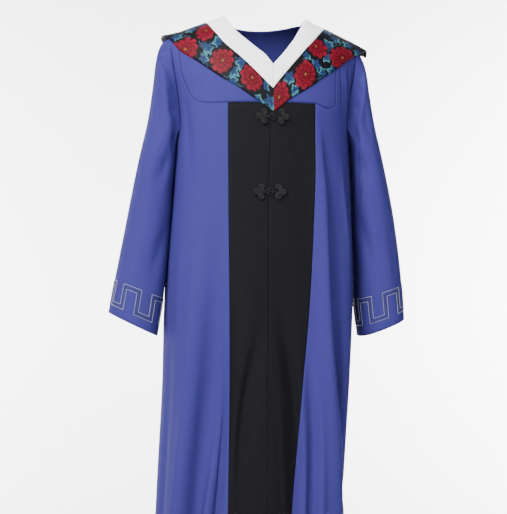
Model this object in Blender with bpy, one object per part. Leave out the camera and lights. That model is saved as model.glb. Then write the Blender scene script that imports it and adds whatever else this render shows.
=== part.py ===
"""Graduation gown, held in the form it takes when worn.

Metres, +Z up. The origin is the middle of the neck at shoulder height, the wearer faces -Y
and the wearer's right is -X. Every panel is cut from one surface, `body`, whose point is given
by a heading (0 in front, 90 degrees at the wearer's left side, 180 behind) and a level. Below
the chest line a level is minus the distance under it in metres. Above the line it is the angle
of climb, in radians, up to the shoulder ridge at a quarter turn.
"""
import bpy
import bmesh
import numpy as np
from mathutils import Matrix, Vector

# Driving sizes
LENGTH = 1.160                  # neck to hem
CHEST = 0.210                   # neck to the chest line
CLOTH = 0.0020                  # wall of the gown cloth
COLLAR_CLOTH = 0.0022           # wall of the lined collar and band
SEAM = 0.0003                   # gap between pieces that are sewn together
LAY = 0.0009                    # rise of a piece that lies on another, over the facets below it
SQUARENESS = 2.6                # power of the rings: 2 is an ellipse, more is squarer
SHOULDER_SPREAD = 0.052         # how much wider the rings are at the ridge than at the chest
BACK_FULLNESS = 0.7             # power of the back's climb: 1 is an ellipse, less is fuller
SCOOP = 0.022                   # armhole's dip below the chest line at the side seam
ARMHOLE_LOW = 0.975             # armhole's share of the half width at the chest line
ARMHOLE_HIGH = 0.824            # and at the shoulder, where it is 178 mm from the middle
ARMHOLE_TURN = 3                # power of its climb: more keeps the armhole upright for longer
SCOOP_MIDDLE = (0.55, 0.75)     # shares of the scoop's way round and down at its middle point
FRONT_COLUMNS = 11              # points across a side front
BACK_COLUMNS = 19               # and across the back
GIRTH_RADIUS = 0.17             # turns a distance along the cloth into a heading
NECK = 0.075                    # neck's half width, where the ridge starts to fall
YOKE_DROP = 0.172               # neck to the straight seam under the yokes
RIDGE_SEAM = 0.0015             # half the shoulder seam's gap, as an angle of climb
PANEL_SHARES = np.linspace(0, 1, 6)     # columns of a black panel, from the opening outwards
QUARTER = np.pi / 2
RIGHT, LEFT = -1, 1

# Rings of the body: half widths on each side, reach to the front and to the back
BODY = {
    "drop": (0.210, 0.350, 0.545, 0.700, 0.860, 1.000, 1.160),
    "right": (0.166, 0.176, 0.190, 0.194, 0.203, 0.210, 0.218),
    "left": (0.164, 0.170, 0.174, 0.167, 0.156, 0.148, 0.145),
    "front": (0.130, 0.136, 0.146, 0.153, 0.160, 0.166, 0.172),
    "back": (0.110, 0.116, 0.126, 0.133, 0.140, 0.146, 0.152),
}

# Height of the shoulder ridge at the neck, and its fall for each metre outwards
RIDGE = {RIGHT: (0.006, 0.38), LEFT: (0.0062, 0.46)}

# Folds: the drop where one starts, its heading in degrees there, at the knee and at the hem,
# its spread in metres on each side, and how far it stands out (plus) or in (minus)
FOLD_COLUMNS = ("top", "heading", "at_knee", "at_hem", "before", "after", "knee_out", "hem_out")
KNEE = 0.680                    # drop of the knee in a fold that starts at KNEE_TOP
KNEE_TOP = 0.300
KNEE_SHIFT = 0.5                # a fold that starts lower has a lower knee, by this share
FOLDS = (
    (0.300, -23, -31, -46, 0.020, 0.016, -0.007, -0.020),
    (0.420, -44, -50, -62, 0.024, 0.024, 0.004, 0.012),
    (0.330, -66, -72, -80, 0.020, 0.020, -0.004, -0.014),
    (0.170, 27, 36, 60, 0.034, 0.016, 0.007, 0.014),
    (0.300, 45, 46, 72, 0.017, 0.017, -0.007, -0.010),
    (0.280, 56, 60, 52, 0.018, 0.022, 0.004, -0.003),
    (0.560, 15, 21, 25, 0.017, 0.017, -0.005, -0.010),
    (0.480, -2, -8, -17, 0.016, 0.014, -0.005, -0.012),
    (0.450, 1, 8, 12, 0.018, 0.020, -0.006, -0.016),
    (0.520, -1, -2, -3, 0.017, 0.015, 0.003, 0.007),
    (0.320, 104, 108, 112, 0.024, 0.024, -0.006, -0.016),
    (0.260, 132, 136, 140, 0.026, 0.026, 0.006, 0.016),
    (0.300, 156, 158, 160, 0.022, 0.022, -0.008, -0.018),
    (0.250, 180, 180, 180, 0.028, 0.028, 0.006, 0.016),
    (0.300, -156, -158, -161, 0.022, 0.022, -0.008, -0.018),
    (0.260, -132, -135, -139, 0.026, 0.026, 0.006, 0.016),
    (0.320, -106, -110, -114, 0.024, 0.024, -0.006, -0.016),
)

# Seam between yoke and side front, as seen from the front: the first point is on the ridge,
# the seventh turns the corner, the last is the top of the black panel's edge: across and drop
YOKE_SEAM = {
    RIGHT: ((0.1665, 0), (0.1665, 0.055), (0.165, 0.082), (0.1617, 0.110), (0.153, 0.137),
            (0.1443, 0.1555), (0.132, 0.168), (0.108, 0.172), (0.0785, YOKE_DROP)),
    LEFT: ((0.138, 0), (0.136, 0.060), (0.133, 0.085), (0.130, 0.112), (0.1285, 0.138),
           (0.1285, 0.158), (0.124, 0.175), (0.108, 0.1795), (0.0855, YOKE_DROP)),
}
CORNER = 6                      # row of the seam's corner

# Climb in degrees of the armhole's stations, from the shoulder down to the chest line
ARMHOLE_CLIMB = (90, 70, 52, 38, 26, 16, 7, 0)

# Rows of the side fronts below the armhole: drop at the black panel and at the side seam
LOWER_ROWS = (
    (0.190, 0.232), (0.212, 0.250), (0.238, 0.272), (0.268, 0.298), (0.302, 0.328),
    (0.340, 0.362), (0.382, 0.400), (0.428, 0.442), (0.478, 0.488), (0.530, 0.537),
    (0.584, 0.588), (0.640, 0.642), (0.696, 0.697), (0.752, 0.752), (0.808, 0.808),
    (0.864, 0.864), (0.922, 0.922), (0.981, 0.981), (1.040, 1.040), (1.100, 1.100),
    (LENGTH, LENGTH),
)

# Edges of the black panels: drop, outer edge on the right, opening, outer edge on the left
PANEL = {
    "drop": (0.172, 0.350, 0.537, 0.720, 0.925, 1.160),
    "right": (-0.0785, -0.0785, -0.0795, -0.0802, -0.0811, -0.0830),
    "opening": (0.0030, -0.0050, -0.0056, -0.0084, -0.0096, -0.0110),
    "left": (0.0855, 0.0810, 0.0715, 0.0560, 0.0385, 0.0230),
}

# Sleeves: overarm line, underarm line, depth from front to back and its middle, cuff last
SLEEVE_COLUMNS = ("outer", "outer_drop", "inner", "inner_drop", "depth", "middle")
SLEEVE = {
    RIGHT: (
        (0.178, 0.034, 0.1663, 0.232, 0.118, 0.000), (0.197, 0.050, 0.1710, 0.246, 0.128, 0.002),
        (0.2065, 0.078, 0.1730, 0.264, 0.134, 0.004), (0.2135, 0.134, 0.1752, 0.292, 0.138, 0.006),
        (0.2230, 0.197, 0.1775, 0.328, 0.140, 0.007), (0.2395, 0.270, 0.1805, 0.372, 0.140, 0.007),
        (0.2550, 0.348, 0.1845, 0.422, 0.138, 0.005), (0.2700, 0.425, 0.1895, 0.478, 0.133, 0.000),
        (0.2855, 0.502, 0.1965, 0.542, 0.126, -0.007), (0.2970, 0.563, 0.2065, 0.607, 0.120, -0.014),
    ),
    LEFT: (
        (0.178, 0.042, 0.1643, 0.232, 0.118, 0.000), (0.1930, 0.064, 0.1690, 0.246, 0.122, 0.002),
        (0.2025, 0.090, 0.1705, 0.264, 0.134, 0.004), (0.2105, 0.142, 0.1720, 0.292, 0.138, 0.006),
        (0.2205, 0.198, 0.1735, 0.328, 0.140, 0.007), (0.2365, 0.268, 0.1750, 0.372, 0.142, 0.007),
        (0.2545, 0.357, 0.1768, 0.422, 0.142, 0.005), (0.2660, 0.437, 0.1790, 0.478, 0.138, 0.000),
        (0.2730, 0.512, 0.1815, 0.544, 0.132, -0.007), (0.2760, 0.577, 0.1885, 0.612, 0.126, -0.014),
    ),
}
SLEEVE_RINGS = 22
RING_CROWDING = 1.15            # power of the rings' stations: more crowds them at the shoulder
SLEEVE_RADIUS = 0.06            # turns a distance round the sleeve into an angle
RIM_TILT = 0.3                  # tilt of the wall's edge at the armhole, away from the body
SETTLED = 0.22                  # share of the sleeve in which the armhole's shape fades

# Folds of the sleeves: turn round the sleeve in degrees (0 overarm, 90 in front) and station
# from 0 at the shoulder to 1 at the cuff, at each end, then spread and how far they stand out
SLEEVE_FOLD_COLUMNS = ("turn", "station", "to_turn", "to_station", "spread", "out")
SLEEVE_FOLDS = {
    RIGHT: ((100, 0.16, 60, 0.52, 0.014, -0.004), (130, 0.30, 80, 0.62, 0.014, -0.005),
            (250, 0.20, 300, 0.60, 0.016, -0.005), (150, 0.55, 100, 0.90, 0.016, -0.004)),
    LEFT: ((95, 0.14, 65, 0.50, 0.014, -0.005), (135, 0.28, 85, 0.58, 0.014, -0.006),
           (250, 0.20, 300, 0.60, 0.016, -0.005), (150, 0.52, 95, 0.88, 0.016, -0.005)),
}

# Collar and neckband from the mitre up to the shoulder, as seen from the front: across and drop
# of the band's inner edge, of the edge they share and of the collar's outer edge
COLLAR_FRONT = {
    RIGHT: (
        (-0.0070, 0.0985, -0.0046, 0.1455, -0.0057, 0.1905),
        (0.0065, 0.0800, 0.0153, 0.1250, 0.0256, 0.1686),
        (0.0215, 0.0670, 0.0368, 0.1020, 0.0565, 0.1462),
        (0.0340, 0.0555, 0.0546, 0.0843, 0.0817, 0.1308),
        (0.0480, 0.0420, 0.0758, 0.0640, 0.1048, 0.1138),
        (0.0580, 0.0310, 0.0894, 0.0470, 0.1278, 0.0960),
        (0.0680, 0.0175, 0.1024, 0.0260, 0.1632, 0.0690),
        (0.0730, 0.0010, 0.1085, 0.0131, 0.1810, 0.0440),
    ),
    LEFT: (
        (0.0070, 0.0985, 0.0046, 0.1455, 0.0057, 0.1905),
        (0.0205, 0.0840, 0.0225, 0.1235, 0.0399, 0.1637),
        (0.0330, 0.0695, 0.0433, 0.0990, 0.0750, 0.1416),
        (0.0410, 0.0590, 0.0587, 0.0816, 0.0955, 0.1269),
        (0.0500, 0.0470, 0.0780, 0.0600, 0.1168, 0.1125),
        (0.0575, 0.0350, 0.0900, 0.0470, 0.1392, 0.0971),
        (0.0670, 0.0195, 0.1030, 0.0330, 0.1720, 0.0730),
        (0.0760, 0.0045, 0.1140, 0.0209, 0.1950, 0.0610),
    ),
}
# The same three edges from the ridge to the centre back: across, and climb in degrees, which
# goes on past 90 behind the ridge
COLLAR_BACK = {
    RIGHT: (
        (0.0756, 90, 0.1116, 90, 0.1935, 90), (0.0745, 102, 0.1070, 104, 0.1880, 110),
        (0.0680, 109, 0.0930, 114, 0.1620, 129), (0.0500, 114, 0.0700, 121, 0.1180, 143),
        (0.0260, 117, 0.0360, 125, 0.0620, 151), (0.0002, 118, 0.0002, 126, 0.0002, 153),
    ),
    LEFT: (
        (0.0815, 90, 0.1230, 90, 0.2110, 90), (0.0800, 102, 0.1150, 104, 0.2000, 110),
        (0.0720, 109, 0.0980, 114, 0.1700, 129), (0.0520, 114, 0.0730, 121, 0.1220, 143),
        (0.0270, 117, 0.0380, 125, 0.0640, 151), (0.0002, 118, 0.0002, 126, 0.0002, 153),
    ),
}
TIP_START = 0.150               # reach from the middle where the collar's tips leave the shoulder
TIP_LIFT = {RIGHT: 3.2, LEFT: 1.0}     # their rise, for each square metre of reach past that
NECK_SCOOP = 24                 # degrees behind the ridge of the back neckline's middle
NECKLINE = 0.094                # half width of the back neckline at the ridge
BAND_WIDTH = 0.035              # width of the neckband
BAND_COLUMNS = 4                # points across the neckband
COLLAR_COLUMNS = 7              # and across the collar

# Frog fastenings, round cord sewn in trefoils
FROG_PLACES = {"upper": (0.0032, 0.1985), "lower": (-0.0028, 0.3376)}
CORD = 0.0044                   # thickness of the cord
LOBE = 0.0048                   # radius of a lobe's middle line
LOBE_PLACES = ((0.0160, 0.0084), (0.0250, 0), (0.0160, -0.0084))
LOOP = 0.0056                   # radius of the loop's middle line round the knot
KNOT = 0.0031                   # radius of the knot
KNOT_RISE = 0.0012              # how far the knot stands proud of the cord
HUB = 0.0027                    # radius of the hub where the lobes meet
HUB_PLACE = 0.0172              # and its distance from the knot
STEM = 0.0023                   # radius of the stem
LOBE_SEGMENTS = 14              # facets round a lobe
CORD_SEGMENTS = 6               # and round its cord
STEM_SEGMENTS = 10
HUB_SEGMENTS = (10, 6)          # facets round and down a ball
KNOT_SEGMENTS = (12, 8)


def srgb(red, green, blue):
    """Linear colour from 8-bit screen values."""
    return tuple(((value / 255 + 0.055) / 1.055) ** 2.4 for value in (red, green, blue)) + (1,)


CLOTHS = {
    "blue": (srgb(82, 88, 160), 0.62),
    "black": (srgb(34, 34, 42), 0.75),
    "white": (srgb(232, 232, 242), 0.38),
    "print": (srgb(120, 34, 48), 0.60),
    "cord": (srgb(28, 28, 34), 0.50),
}


def flow(at, knots, values):
    """A smooth line through the knots: cubic pieces that share the average slope at each knot."""
    knots = np.asarray(knots, float)
    values = np.asarray(values, float)
    slope = np.gradient(values, knots)
    at = np.clip(at, knots[0], knots[-1])
    piece = np.clip(np.searchsorted(knots, at) - 1, 0, len(knots) - 2)
    width = knots[piece + 1] - knots[piece]
    share = (at - knots[piece]) / width
    rest = 1 - share
    start = rest * rest * (1 + 2 * share) * values[piece] + rest * rest * share * width * slope[piece]
    end = share * share * (3 - 2 * share) * values[piece + 1]
    return start + end - share * share * rest * width * slope[piece + 1]


def ridge(across):
    """Height of the shoulder ridge: level over the neck, then falling outwards on each side."""
    height = np.where(np.asarray(across) < 0, RIDGE[RIGHT][0], RIDGE[LEFT][0])
    fall = np.where(np.asarray(across) < 0, RIDGE[RIGHT][1], RIDGE[LEFT][1])
    return height - fall * np.maximum(np.abs(across) - NECK, 0)


def half_width(side, drop, climb):
    """Half width of the ring at a drop on one side, spreading as the cloth climbs to the ridge."""
    rings = np.where(side < 0, flow(drop, BODY["drop"], BODY["right"]),
                     flow(drop, BODY["drop"], BODY["left"]))
    return rings + SHOULDER_SPREAD * np.sin(climb) ** 2


def fold_depth(heading, drop):
    """How far the folds push the cloth out: a bell across each fold, growing down its path."""
    out = np.zeros(np.broadcast(heading, drop).shape)
    for row in FOLDS:
        fold = dict(zip(FOLD_COLUMNS, row))
        stations = (fold["top"], KNEE + KNEE_SHIFT * (fold["top"] - KNEE_TOP), LENGTH)
        path = np.radians(flow(drop, stations, (fold["heading"], fold["at_knee"], fold["at_hem"])))
        turn = (heading - path + np.pi) % (2 * np.pi) - np.pi
        spread = np.where(turn < 0, fold["before"], fold["after"])
        grown = np.interp(drop, stations, (0, fold["knee_out"], fold["hem_out"]))
        out = out + grown * np.exp(-(turn * GIRTH_RADIUS / spread) ** 2)
    return out


def body(heading, level):
    """Point of the gown's outer surface: a squared ring, climbing like a quarter ellipse
    to the shoulder ridge above the chest line, moved out along the ring by the folds."""
    heading = np.asarray(heading, float)
    level = np.asarray(level, float)
    side = np.sign(np.sin(heading))
    facing = -np.sign(np.cos(heading))
    climb = np.clip(level, 0, QUARTER)
    drop = CHEST + np.maximum(-level, 0)
    wide = half_width(side, drop, climb)
    deep = np.where(facing < 0, flow(drop, BODY["drop"], BODY["front"]),
                    flow(drop, BODY["drop"], BODY["back"]))
    along = np.abs(np.sin(heading)) ** (2 / SQUARENESS)
    ahead = np.abs(np.cos(heading)) ** (2 / SQUARENESS)
    fullness = np.where(facing < 0, 1.0, BACK_FULLNESS)
    lean = np.cos(climb).clip(0) ** fullness
    rise = np.sin(climb) ** fullness
    x = side * wide * along
    y = facing * deep * ahead * lean
    z = (ridge(x) + CHEST) * rise - drop
    facing_out = np.stack([side * along ** (SQUARENESS - 1) / wide,
                           facing * ahead ** (SQUARENESS - 1) / deep, np.zeros_like(x)], -1)
    facing_out /= np.linalg.norm(facing_out, axis=-1, keepdims=True)
    return np.stack([x, y, z], -1) + facing_out * fold_depth(heading, -z)[..., None]


def body_outward(heading, level):
    """Direction square to the surface, from the slopes along both of its parameters."""
    step = 0.004
    around = body(heading + step, level) - body(heading - step, level)
    upward = body(heading, level + step) - body(heading, level - step)
    out = np.cross(around, upward)
    return out / np.linalg.norm(out, axis=-1, keepdims=True)


def climb_at(across, drop):
    """Climb of a place seen from the front; nothing on the ridge, where drop is 0."""
    share = (CHEST - np.asarray(drop, float)) / (ridge(across) + CHEST)
    return np.where(np.asarray(drop) == 0, QUARTER, np.arcsin(np.clip(share, 0, 1)))


def place(across, drop):
    """Heading and level of a place seen from the front, right of the middle being negative."""
    across = np.asarray(across, float)
    drop = np.asarray(drop, float)
    climb = climb_at(across, drop)
    wide = half_width(np.sign(across), np.maximum(drop, CHEST), climb)
    sweep = np.arcsin(np.clip(np.abs(across) / wide, 0, 1) ** (SQUARENESS / 2))
    level = np.where(drop > CHEST, CHEST - drop, climb)
    return np.stack([np.sign(across) * sweep, level], -1)


def over_shoulder(across, climb):
    """Heading and level of a place by its climb, which goes on past the ridge to the back."""
    climb = np.asarray(climb, float)
    level = np.minimum(climb, np.pi - climb)
    wide = half_width(np.sign(across), CHEST, level)
    sweep = np.arcsin(np.clip(np.abs(across) / wide, 0, 1) ** (SQUARENESS / 2))
    heading = np.where(climb > QUARTER, np.pi - sweep, sweep)
    return np.stack([np.sign(across) * heading, level], -1)


def moved(path, sideways):
    """A path seen from the front, moved square to itself by half a seam."""
    path = np.asarray(path, float)
    along = np.gradient(path, axis=0)
    square = np.stack([along[:, 1], -along[:, 0]], -1)
    return path + sideways * square / np.linalg.norm(square, axis=-1, keepdims=True)


def ruled(first, second, shares):
    """Grid between two edges: straight in heading and level from one to the other."""
    shares = np.asarray(shares)[None, :, None]
    return first[:, None] * (1 - shares) + second[:, None] * shares


def framed(top, bottom, first, second):
    """Grid inside four edges: the two ruled grids added, less the one through the corners."""
    down = np.linspace(0, 1, len(first))[:, None, None]
    across = np.linspace(0, 1, len(top))[None, :, None]
    sides = first[:, None] * (1 - across) + second[:, None] * across
    ends = top[None] * (1 - down) + bottom[None] * down
    corners = ((top[0] * (1 - across) + top[-1] * across) * (1 - down)
               + (bottom[0] * (1 - across) + bottom[-1] * across) * down)
    return sides + ends - corners


def add_solid(name, mesh, cloth):
    """Puts a finished mesh in the gown's collection with its own material."""
    colour, roughness = CLOTHS[cloth]
    material = bpy.data.materials.new(name)
    material.use_nodes = True
    shader = material.node_tree.nodes["Principled BSDF"]
    shader.inputs["Base Color"].default_value = colour
    shader.inputs["Roughness"].default_value = roughness
    mesh.materials.append(material)
    solid = bpy.data.objects.new(name, mesh)
    gown.objects.link(solid)
    return solid


def wall(name, outer, inner, cloth, tube=False):
    """Closed wall between two skins on one grid; a tube's grid goes round and has two rims."""
    rows, columns = outer.shape[:2]
    count = rows * columns
    index = np.arange(count).reshape(rows, columns)
    if tube:
        index = np.concatenate([index, index[:, :1]], axis=1)
    corners = [index[:-1, :-1], index[1:, :-1], index[1:, 1:], index[:-1, 1:]]
    a, b, c, d = (corner.ravel() for corner in corners)
    halves = np.concatenate([np.stack([a, b, c], -1), np.stack([a, c, d], -1)])
    faces = halves.tolist() + (halves[:, ::-1] + count).tolist()
    rims = [index[0], index[-1][::-1]]
    if not tube:
        rims += [index[:, 0][::-1], index[:, -1]]
    for rim in rims:
        quads = np.stack([rim[:-1], rim[1:], rim[1:] + count, rim[:-1] + count], -1)
        faces += quads.tolist()
    mesh = bpy.data.meshes.new(name)
    mesh.from_pydata(np.concatenate([outer.reshape(-1, 3), inner.reshape(-1, 3)]).tolist(), [], faces)
    work = bmesh.new()
    work.from_mesh(mesh)
    bmesh.ops.recalc_face_normals(work, faces=work.faces)
    work.to_mesh(mesh)
    work.free()
    mesh.shade_smooth()
    return add_solid(name, mesh, cloth)


def panel_wall(name, grid, cloth):
    """Wall of a panel of the body, its outer skin on the surface itself."""
    heading, level = grid[..., 0], grid[..., 1]
    outer = body(heading, level)
    return wall(name, outer, outer - CLOTH * body_outward(heading, level), cloth)


def armhole(side, behind):
    """Armhole edge of a front or the back: down the end of the shoulder, then the scoop."""
    climb = np.radians(ARMHOLE_CLIMB)
    share = ARMHOLE_LOW + (ARMHOLE_HIGH - ARMHOLE_LOW) * np.sin(climb) ** ARMHOLE_TURN
    reach = half_width(side, CHEST, climb) * share
    edge = over_shoulder(side * reach, climb)
    if behind:
        edge[:, 0] = side * np.pi - edge[:, 0]
    under_heading = side * QUARTER
    start_heading = edge[-1, 0]
    middle_heading = start_heading + SCOOP_MIDDLE[0] * (under_heading - start_heading)
    scoop = [(middle_heading, -SCOOP_MIDDLE[1] * SCOOP), (under_heading, -SCOOP)]
    return np.concatenate([edge, scoop])


def outer_edge(side, behind):
    """Armhole and side seam of a front or the back, the seam half a gap off the side."""
    shift = 0.5 * SEAM / GIRTH_RADIUS * (side if behind else -side)
    rim = armhole(side, behind)
    rim[-1, 0] += shift
    drops = np.array(LOWER_ROWS)[1:, 1]
    seam = np.stack([np.full(len(drops), side * QUARTER + shift), CHEST - drops], -1)
    return np.concatenate([rim, seam])


def panel_edge(column, drops):
    """Across of one edge of the black panels at the drops given."""
    return flow(np.asarray(drops, float), PANEL["drop"], PANEL[column])


def name_of(side):
    return "right" if side < 0 else "left"


def build_yoke(side):
    """Rounded chest yoke: neckline, shoulder seam, curved seam and the seam over the panels."""
    seam = np.array(YOKE_SEAM[side]) * (side, 1)
    seam = moved(seam, -side * 0.5 * SEAM)
    seam[0, 1] = 0
    front = np.array(COLLAR_FRONT[side])
    neckline = 0.5 * (front[::-1, 0:2] + front[::-1, 2:4]) * (side, 1)
    neckline[-1, 0] = panel_edge("opening", YOKE_DROP)
    meeting = (panel_edge("opening", YOKE_DROP), YOKE_DROP - 0.5 * SEAM)
    ridge_start = (side * 0.5 * (COLLAR_BACK[side][0][0] + COLLAR_BACK[side][0][2]), 0)
    inner_path = np.concatenate([[ridge_start], neckline[[1, 3, 5, 7]], [meeting]])
    inner_path[-2:, 0] += side * 0.5 * SEAM
    inner_path[0, 1] = 0
    outer_path = seam[:CORNER + 1]
    length = np.linspace(0, 1, len(inner_path))
    rows = np.linspace(0, 1, len(outer_path))
    inner_path = np.stack([np.interp(rows, length, inner_path[:, 0]),
                           np.interp(rows, length, inner_path[:, 1])], -1)
    seam[-1, 1] = meeting[1]
    middle = inner_path[-1] + PANEL_SHARES[:, None] * (seam[-1] - inner_path[-1])
    bottom = place(*np.concatenate([middle[:-1], seam[:CORNER - 1:-1]]).T)
    columns = np.linspace(0, 1, len(bottom))
    first = place(*inner_path.T)
    second = place(*outer_path.T)
    first[0, 1] = second[0, 1] = QUARTER - RIDGE_SEAM
    top = first[0] + (second[0] - first[0]) * columns[:, None]
    grid = framed(top, bottom, first, second)
    panel_wall("yoke_" + name_of(side), grid, "blue")


def build_front(side):
    """Blue side front: a narrow strip beside the yoke, then the whole width down to the hem."""
    rows = np.array(LOWER_ROWS)
    seam = np.array(YOKE_SEAM[side]) * (side, 1)
    edge = np.stack([panel_edge(name_of(side), rows[:, 0]), rows[:, 0]], -1)
    path = moved(np.concatenate([seam, edge]), side * 0.5 * SEAM)
    path[0, 1] = 0
    path[-1, 1] = LENGTH
    first = place(*path.T)
    second = outer_edge(side, False)
    first[0, 1] = second[0, 1] = QUARTER - RIDGE_SEAM
    grid = ruled(first, second, np.linspace(0, 1, FRONT_COLUMNS))
    panel_wall("front_" + name_of(side), grid, "blue")


def build_panel(side):
    """Black centre front, meeting its twin edge to edge at the opening."""
    drops = np.array([YOKE_DROP + 0.5 * SEAM] + [row[0] for row in LOWER_ROWS])[:, None]
    outer = panel_edge(name_of(side), drops) - side * 0.5 * SEAM
    opening = panel_edge("opening", drops) + side * 0.5 * SEAM
    across = opening + PANEL_SHARES * (outer - opening)
    panel_wall("panel_" + name_of(side), place(across, drops), "black")


def build_back():
    """One plain back from the shoulder seams and the neckline to the hem."""
    left = outer_edge(LEFT, True)
    right = outer_edge(RIGHT, True)
    right[:, 0] += 2 * np.pi
    grid = ruled(left, right, np.linspace(0, 1, BACK_COLUMNS))
    top_reach = np.abs(body(grid[0, :, 0], np.full(BACK_COLUMNS, QUARTER))[:, 0])
    dip = np.radians(NECK_SCOOP) * np.clip(1 - (top_reach / NECKLINE) ** 2, 0, 1) ** 0.5
    dip = np.maximum(dip, RIDGE_SEAM)
    upper = grid[..., 1] > 0
    grid[..., 1] = np.where(upper, grid[..., 1] * (1 - dip / QUARTER), grid[..., 1])
    panel_wall("back", grid, "blue")


def sleeve_outer(side, turn, station):
    """Point of a sleeve: ovals between the overarm and underarm lines, bent in by the folds."""
    table = dict(zip(SLEEVE_COLUMNS, np.array(SLEEVE[side]).T))
    knots = np.linspace(0, 1, len(SLEEVE[side]))
    read = {name: flow(station, knots, values) for name, values in table.items()}
    over = np.stack([side * read["outer"], read["middle"], -read["outer_drop"]], -1)
    under = np.stack([side * read["inner"], read["middle"], -read["inner_drop"]], -1)
    centre = 0.5 * (over + under)
    ahead = np.zeros_like(centre)
    ahead[..., 1] = -0.5 * read["depth"]
    swell = np.ones(np.broadcast(turn, station).shape)
    for row in SLEEVE_FOLDS[side]:
        fold = dict(zip(SLEEVE_FOLD_COLUMNS, row))
        share = (station - fold["station"]) / (fold["to_station"] - fold["station"])
        path = np.radians(fold["turn"] + (fold["to_turn"] - fold["turn"]) * share)
        away = ((turn - path + np.pi) % (2 * np.pi) - np.pi) * SLEEVE_RADIUS / fold["spread"]
        ends = np.sin(np.pi * np.clip(share, 0, 1)) ** 2
        swell = swell + fold["out"] / SLEEVE_RADIUS * ends * np.exp(-away ** 2)
    cosine = (np.cos(turn) * swell)[..., None]
    sine = (np.sin(turn) * swell)[..., None]
    return centre + (over - centre) * cosine + ahead * sine


def build_sleeve(side):
    """Wide set-in sleeve: a tube from the armhole's own points to the open cuff."""
    front = armhole(side, False)
    back = armhole(side, True)
    loop = np.concatenate([front, back[-2:0:-1]])
    start = body(loop[:, 0], loop[:, 1])
    start[:, 0] += side * SEAM
    turns = np.linspace(0, 2 * np.pi, len(start), endpoint=False)
    stations = np.linspace(0, 1, SLEEVE_RINGS) ** RING_CROWDING
    outer = sleeve_outer(side, turns[None], stations[:, None])
    fade = np.clip(1 - stations / SETTLED, 0, 1)
    fade = (fade * fade * (3 - 2 * fade))[:, None, None]
    outer = outer + fade * (start - sleeve_outer(side, turns, np.zeros(len(turns))))[None]
    around = np.roll(outer, -1, axis=1) - np.roll(outer, 1, axis=1)
    along = np.gradient(outer, axis=0)
    out = np.cross(around, along) * side
    out[0, :, 0] = -RIM_TILT * side * np.linalg.norm(out[0], axis=-1)
    out /= np.linalg.norm(out, axis=-1, keepdims=True)
    wall("sleeve_" + name_of(side), outer, outer - CLOTH * out, "blue", tube=True)


def collar_edges(side):
    """The three edges of band and collar as headings and levels, mitre first."""
    front = np.array(COLLAR_FRONT[side])
    back = np.array(COLLAR_BACK[side])
    edges = []
    for column in (0, 2, 4):
        across = front[:, column].copy()
        across[0] += 0.5 * SEAM
        climb = climb_at(side * across, front[:, column + 1])
        across = np.concatenate([across, back[:, column]])
        climb = np.concatenate([climb, np.radians(back[:, column + 1])])
        knots = np.arange(len(across))
        finer = np.linspace(0, len(across) - 1, 2 * len(across) - 1)
        edges.append((flow(finer, knots, across) * side, flow(finer, knots, climb)))
    return edges


def laid_wall(name, side, first, second, shares, cloth):
    """Wall that lies on the shoulders between two edges, its tips rising off them."""
    shares = np.asarray(shares)
    across = first[0][:, None] * (1 - shares) + second[0][:, None] * shares
    climb = first[1][:, None] * (1 - shares) + second[1][:, None] * shares
    grid = over_shoulder(across, climb)
    points = body(grid[..., 0], grid[..., 1])
    out = body_outward(grid[..., 0], grid[..., 1])
    lift = LAY + TIP_LIFT[side] * np.maximum(np.abs(across) - TIP_START, 0) ** 2
    inner = points + out * lift[..., None]
    return wall(name, inner + out * COLLAR_CLOTH, inner, cloth)


def build_collar(side):
    """White neckband and printed collar of one side, from the mitre to the centre back."""
    inner, shared, outer = collar_edges(side)
    gap = 0.5 * SEAM / BAND_WIDTH
    band = np.linspace(0, 1 - gap, BAND_COLUMNS)
    collar = np.linspace(gap, 1, COLLAR_COLUMNS)
    laid_wall("neckband_" + name_of(side), side, inner, shared, band, "white")
    laid_wall("collar_" + name_of(side), side, shared, outer, collar, "print")


def primitive(kind, place_at, **sizes):
    """A primitive in the frogs' own plane, left in the scene until it is joined."""
    getattr(bpy.ops.mesh, "primitive_" + kind + "_add")(location=place_at, **sizes)
    piece = bpy.context.object
    bpy.context.collection.objects.unlink(piece)
    return piece


def union(pieces):
    """One closed mesh of the pieces, joined one after another."""
    base = pieces[0]
    gown.objects.link(base)
    for other in pieces[1:]:
        gown.objects.link(other)
        joint = base.modifiers.new("join", "BOOLEAN")
        joint.operation = "UNION"
        joint.object = other
    bpy.context.view_layer.update()
    evaluated = base.evaluated_get(bpy.context.evaluated_depsgraph_get())
    mesh = bpy.data.meshes.new_from_object(evaluated)
    mesh.transform(base.matrix_world)
    for piece in pieces:
        bpy.data.objects.remove(piece)
    mesh.materials.clear()
    return mesh


def lobe(at, radius):
    return primitive("torus", (at[0], at[1], 0), major_radius=radius, minor_radius=CORD / 2,
                     major_segments=LOBE_SEGMENTS, minor_segments=CORD_SEGMENTS)


def ball(at, radius, segments):
    return primitive("uv_sphere", at, radius=radius, segments=segments[0], ring_count=segments[1])


def build_rosette(name, towards, looped, frame):
    """Trefoil of three lobes and a short stem, which on one side ends in the knot's loop."""
    pieces = [lobe((towards * at[0], at[1]), LOBE) for at in LOBE_PLACES]
    stem_end = LOOP if looped else LOOP + CORD / 2 + SEAM
    stem_start = LOBE_PLACES[0][0] + LOBE / 2
    stem_middle = (towards * (stem_start + stem_end) / 2, 0, 0)
    pieces.append(primitive("cylinder", stem_middle, vertices=STEM_SEGMENTS, radius=STEM,
                            depth=stem_start - stem_end, rotation=(0, QUARTER, 0)))
    pieces.append(ball((towards * HUB_PLACE, 0, 0), HUB, HUB_SEGMENTS))
    if looped:
        pieces.append(lobe((0, 0), LOOP))
    mesh = union(pieces)
    mesh.transform(frame)
    mesh.shade_smooth()
    add_solid(name, mesh, "cord")


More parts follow.
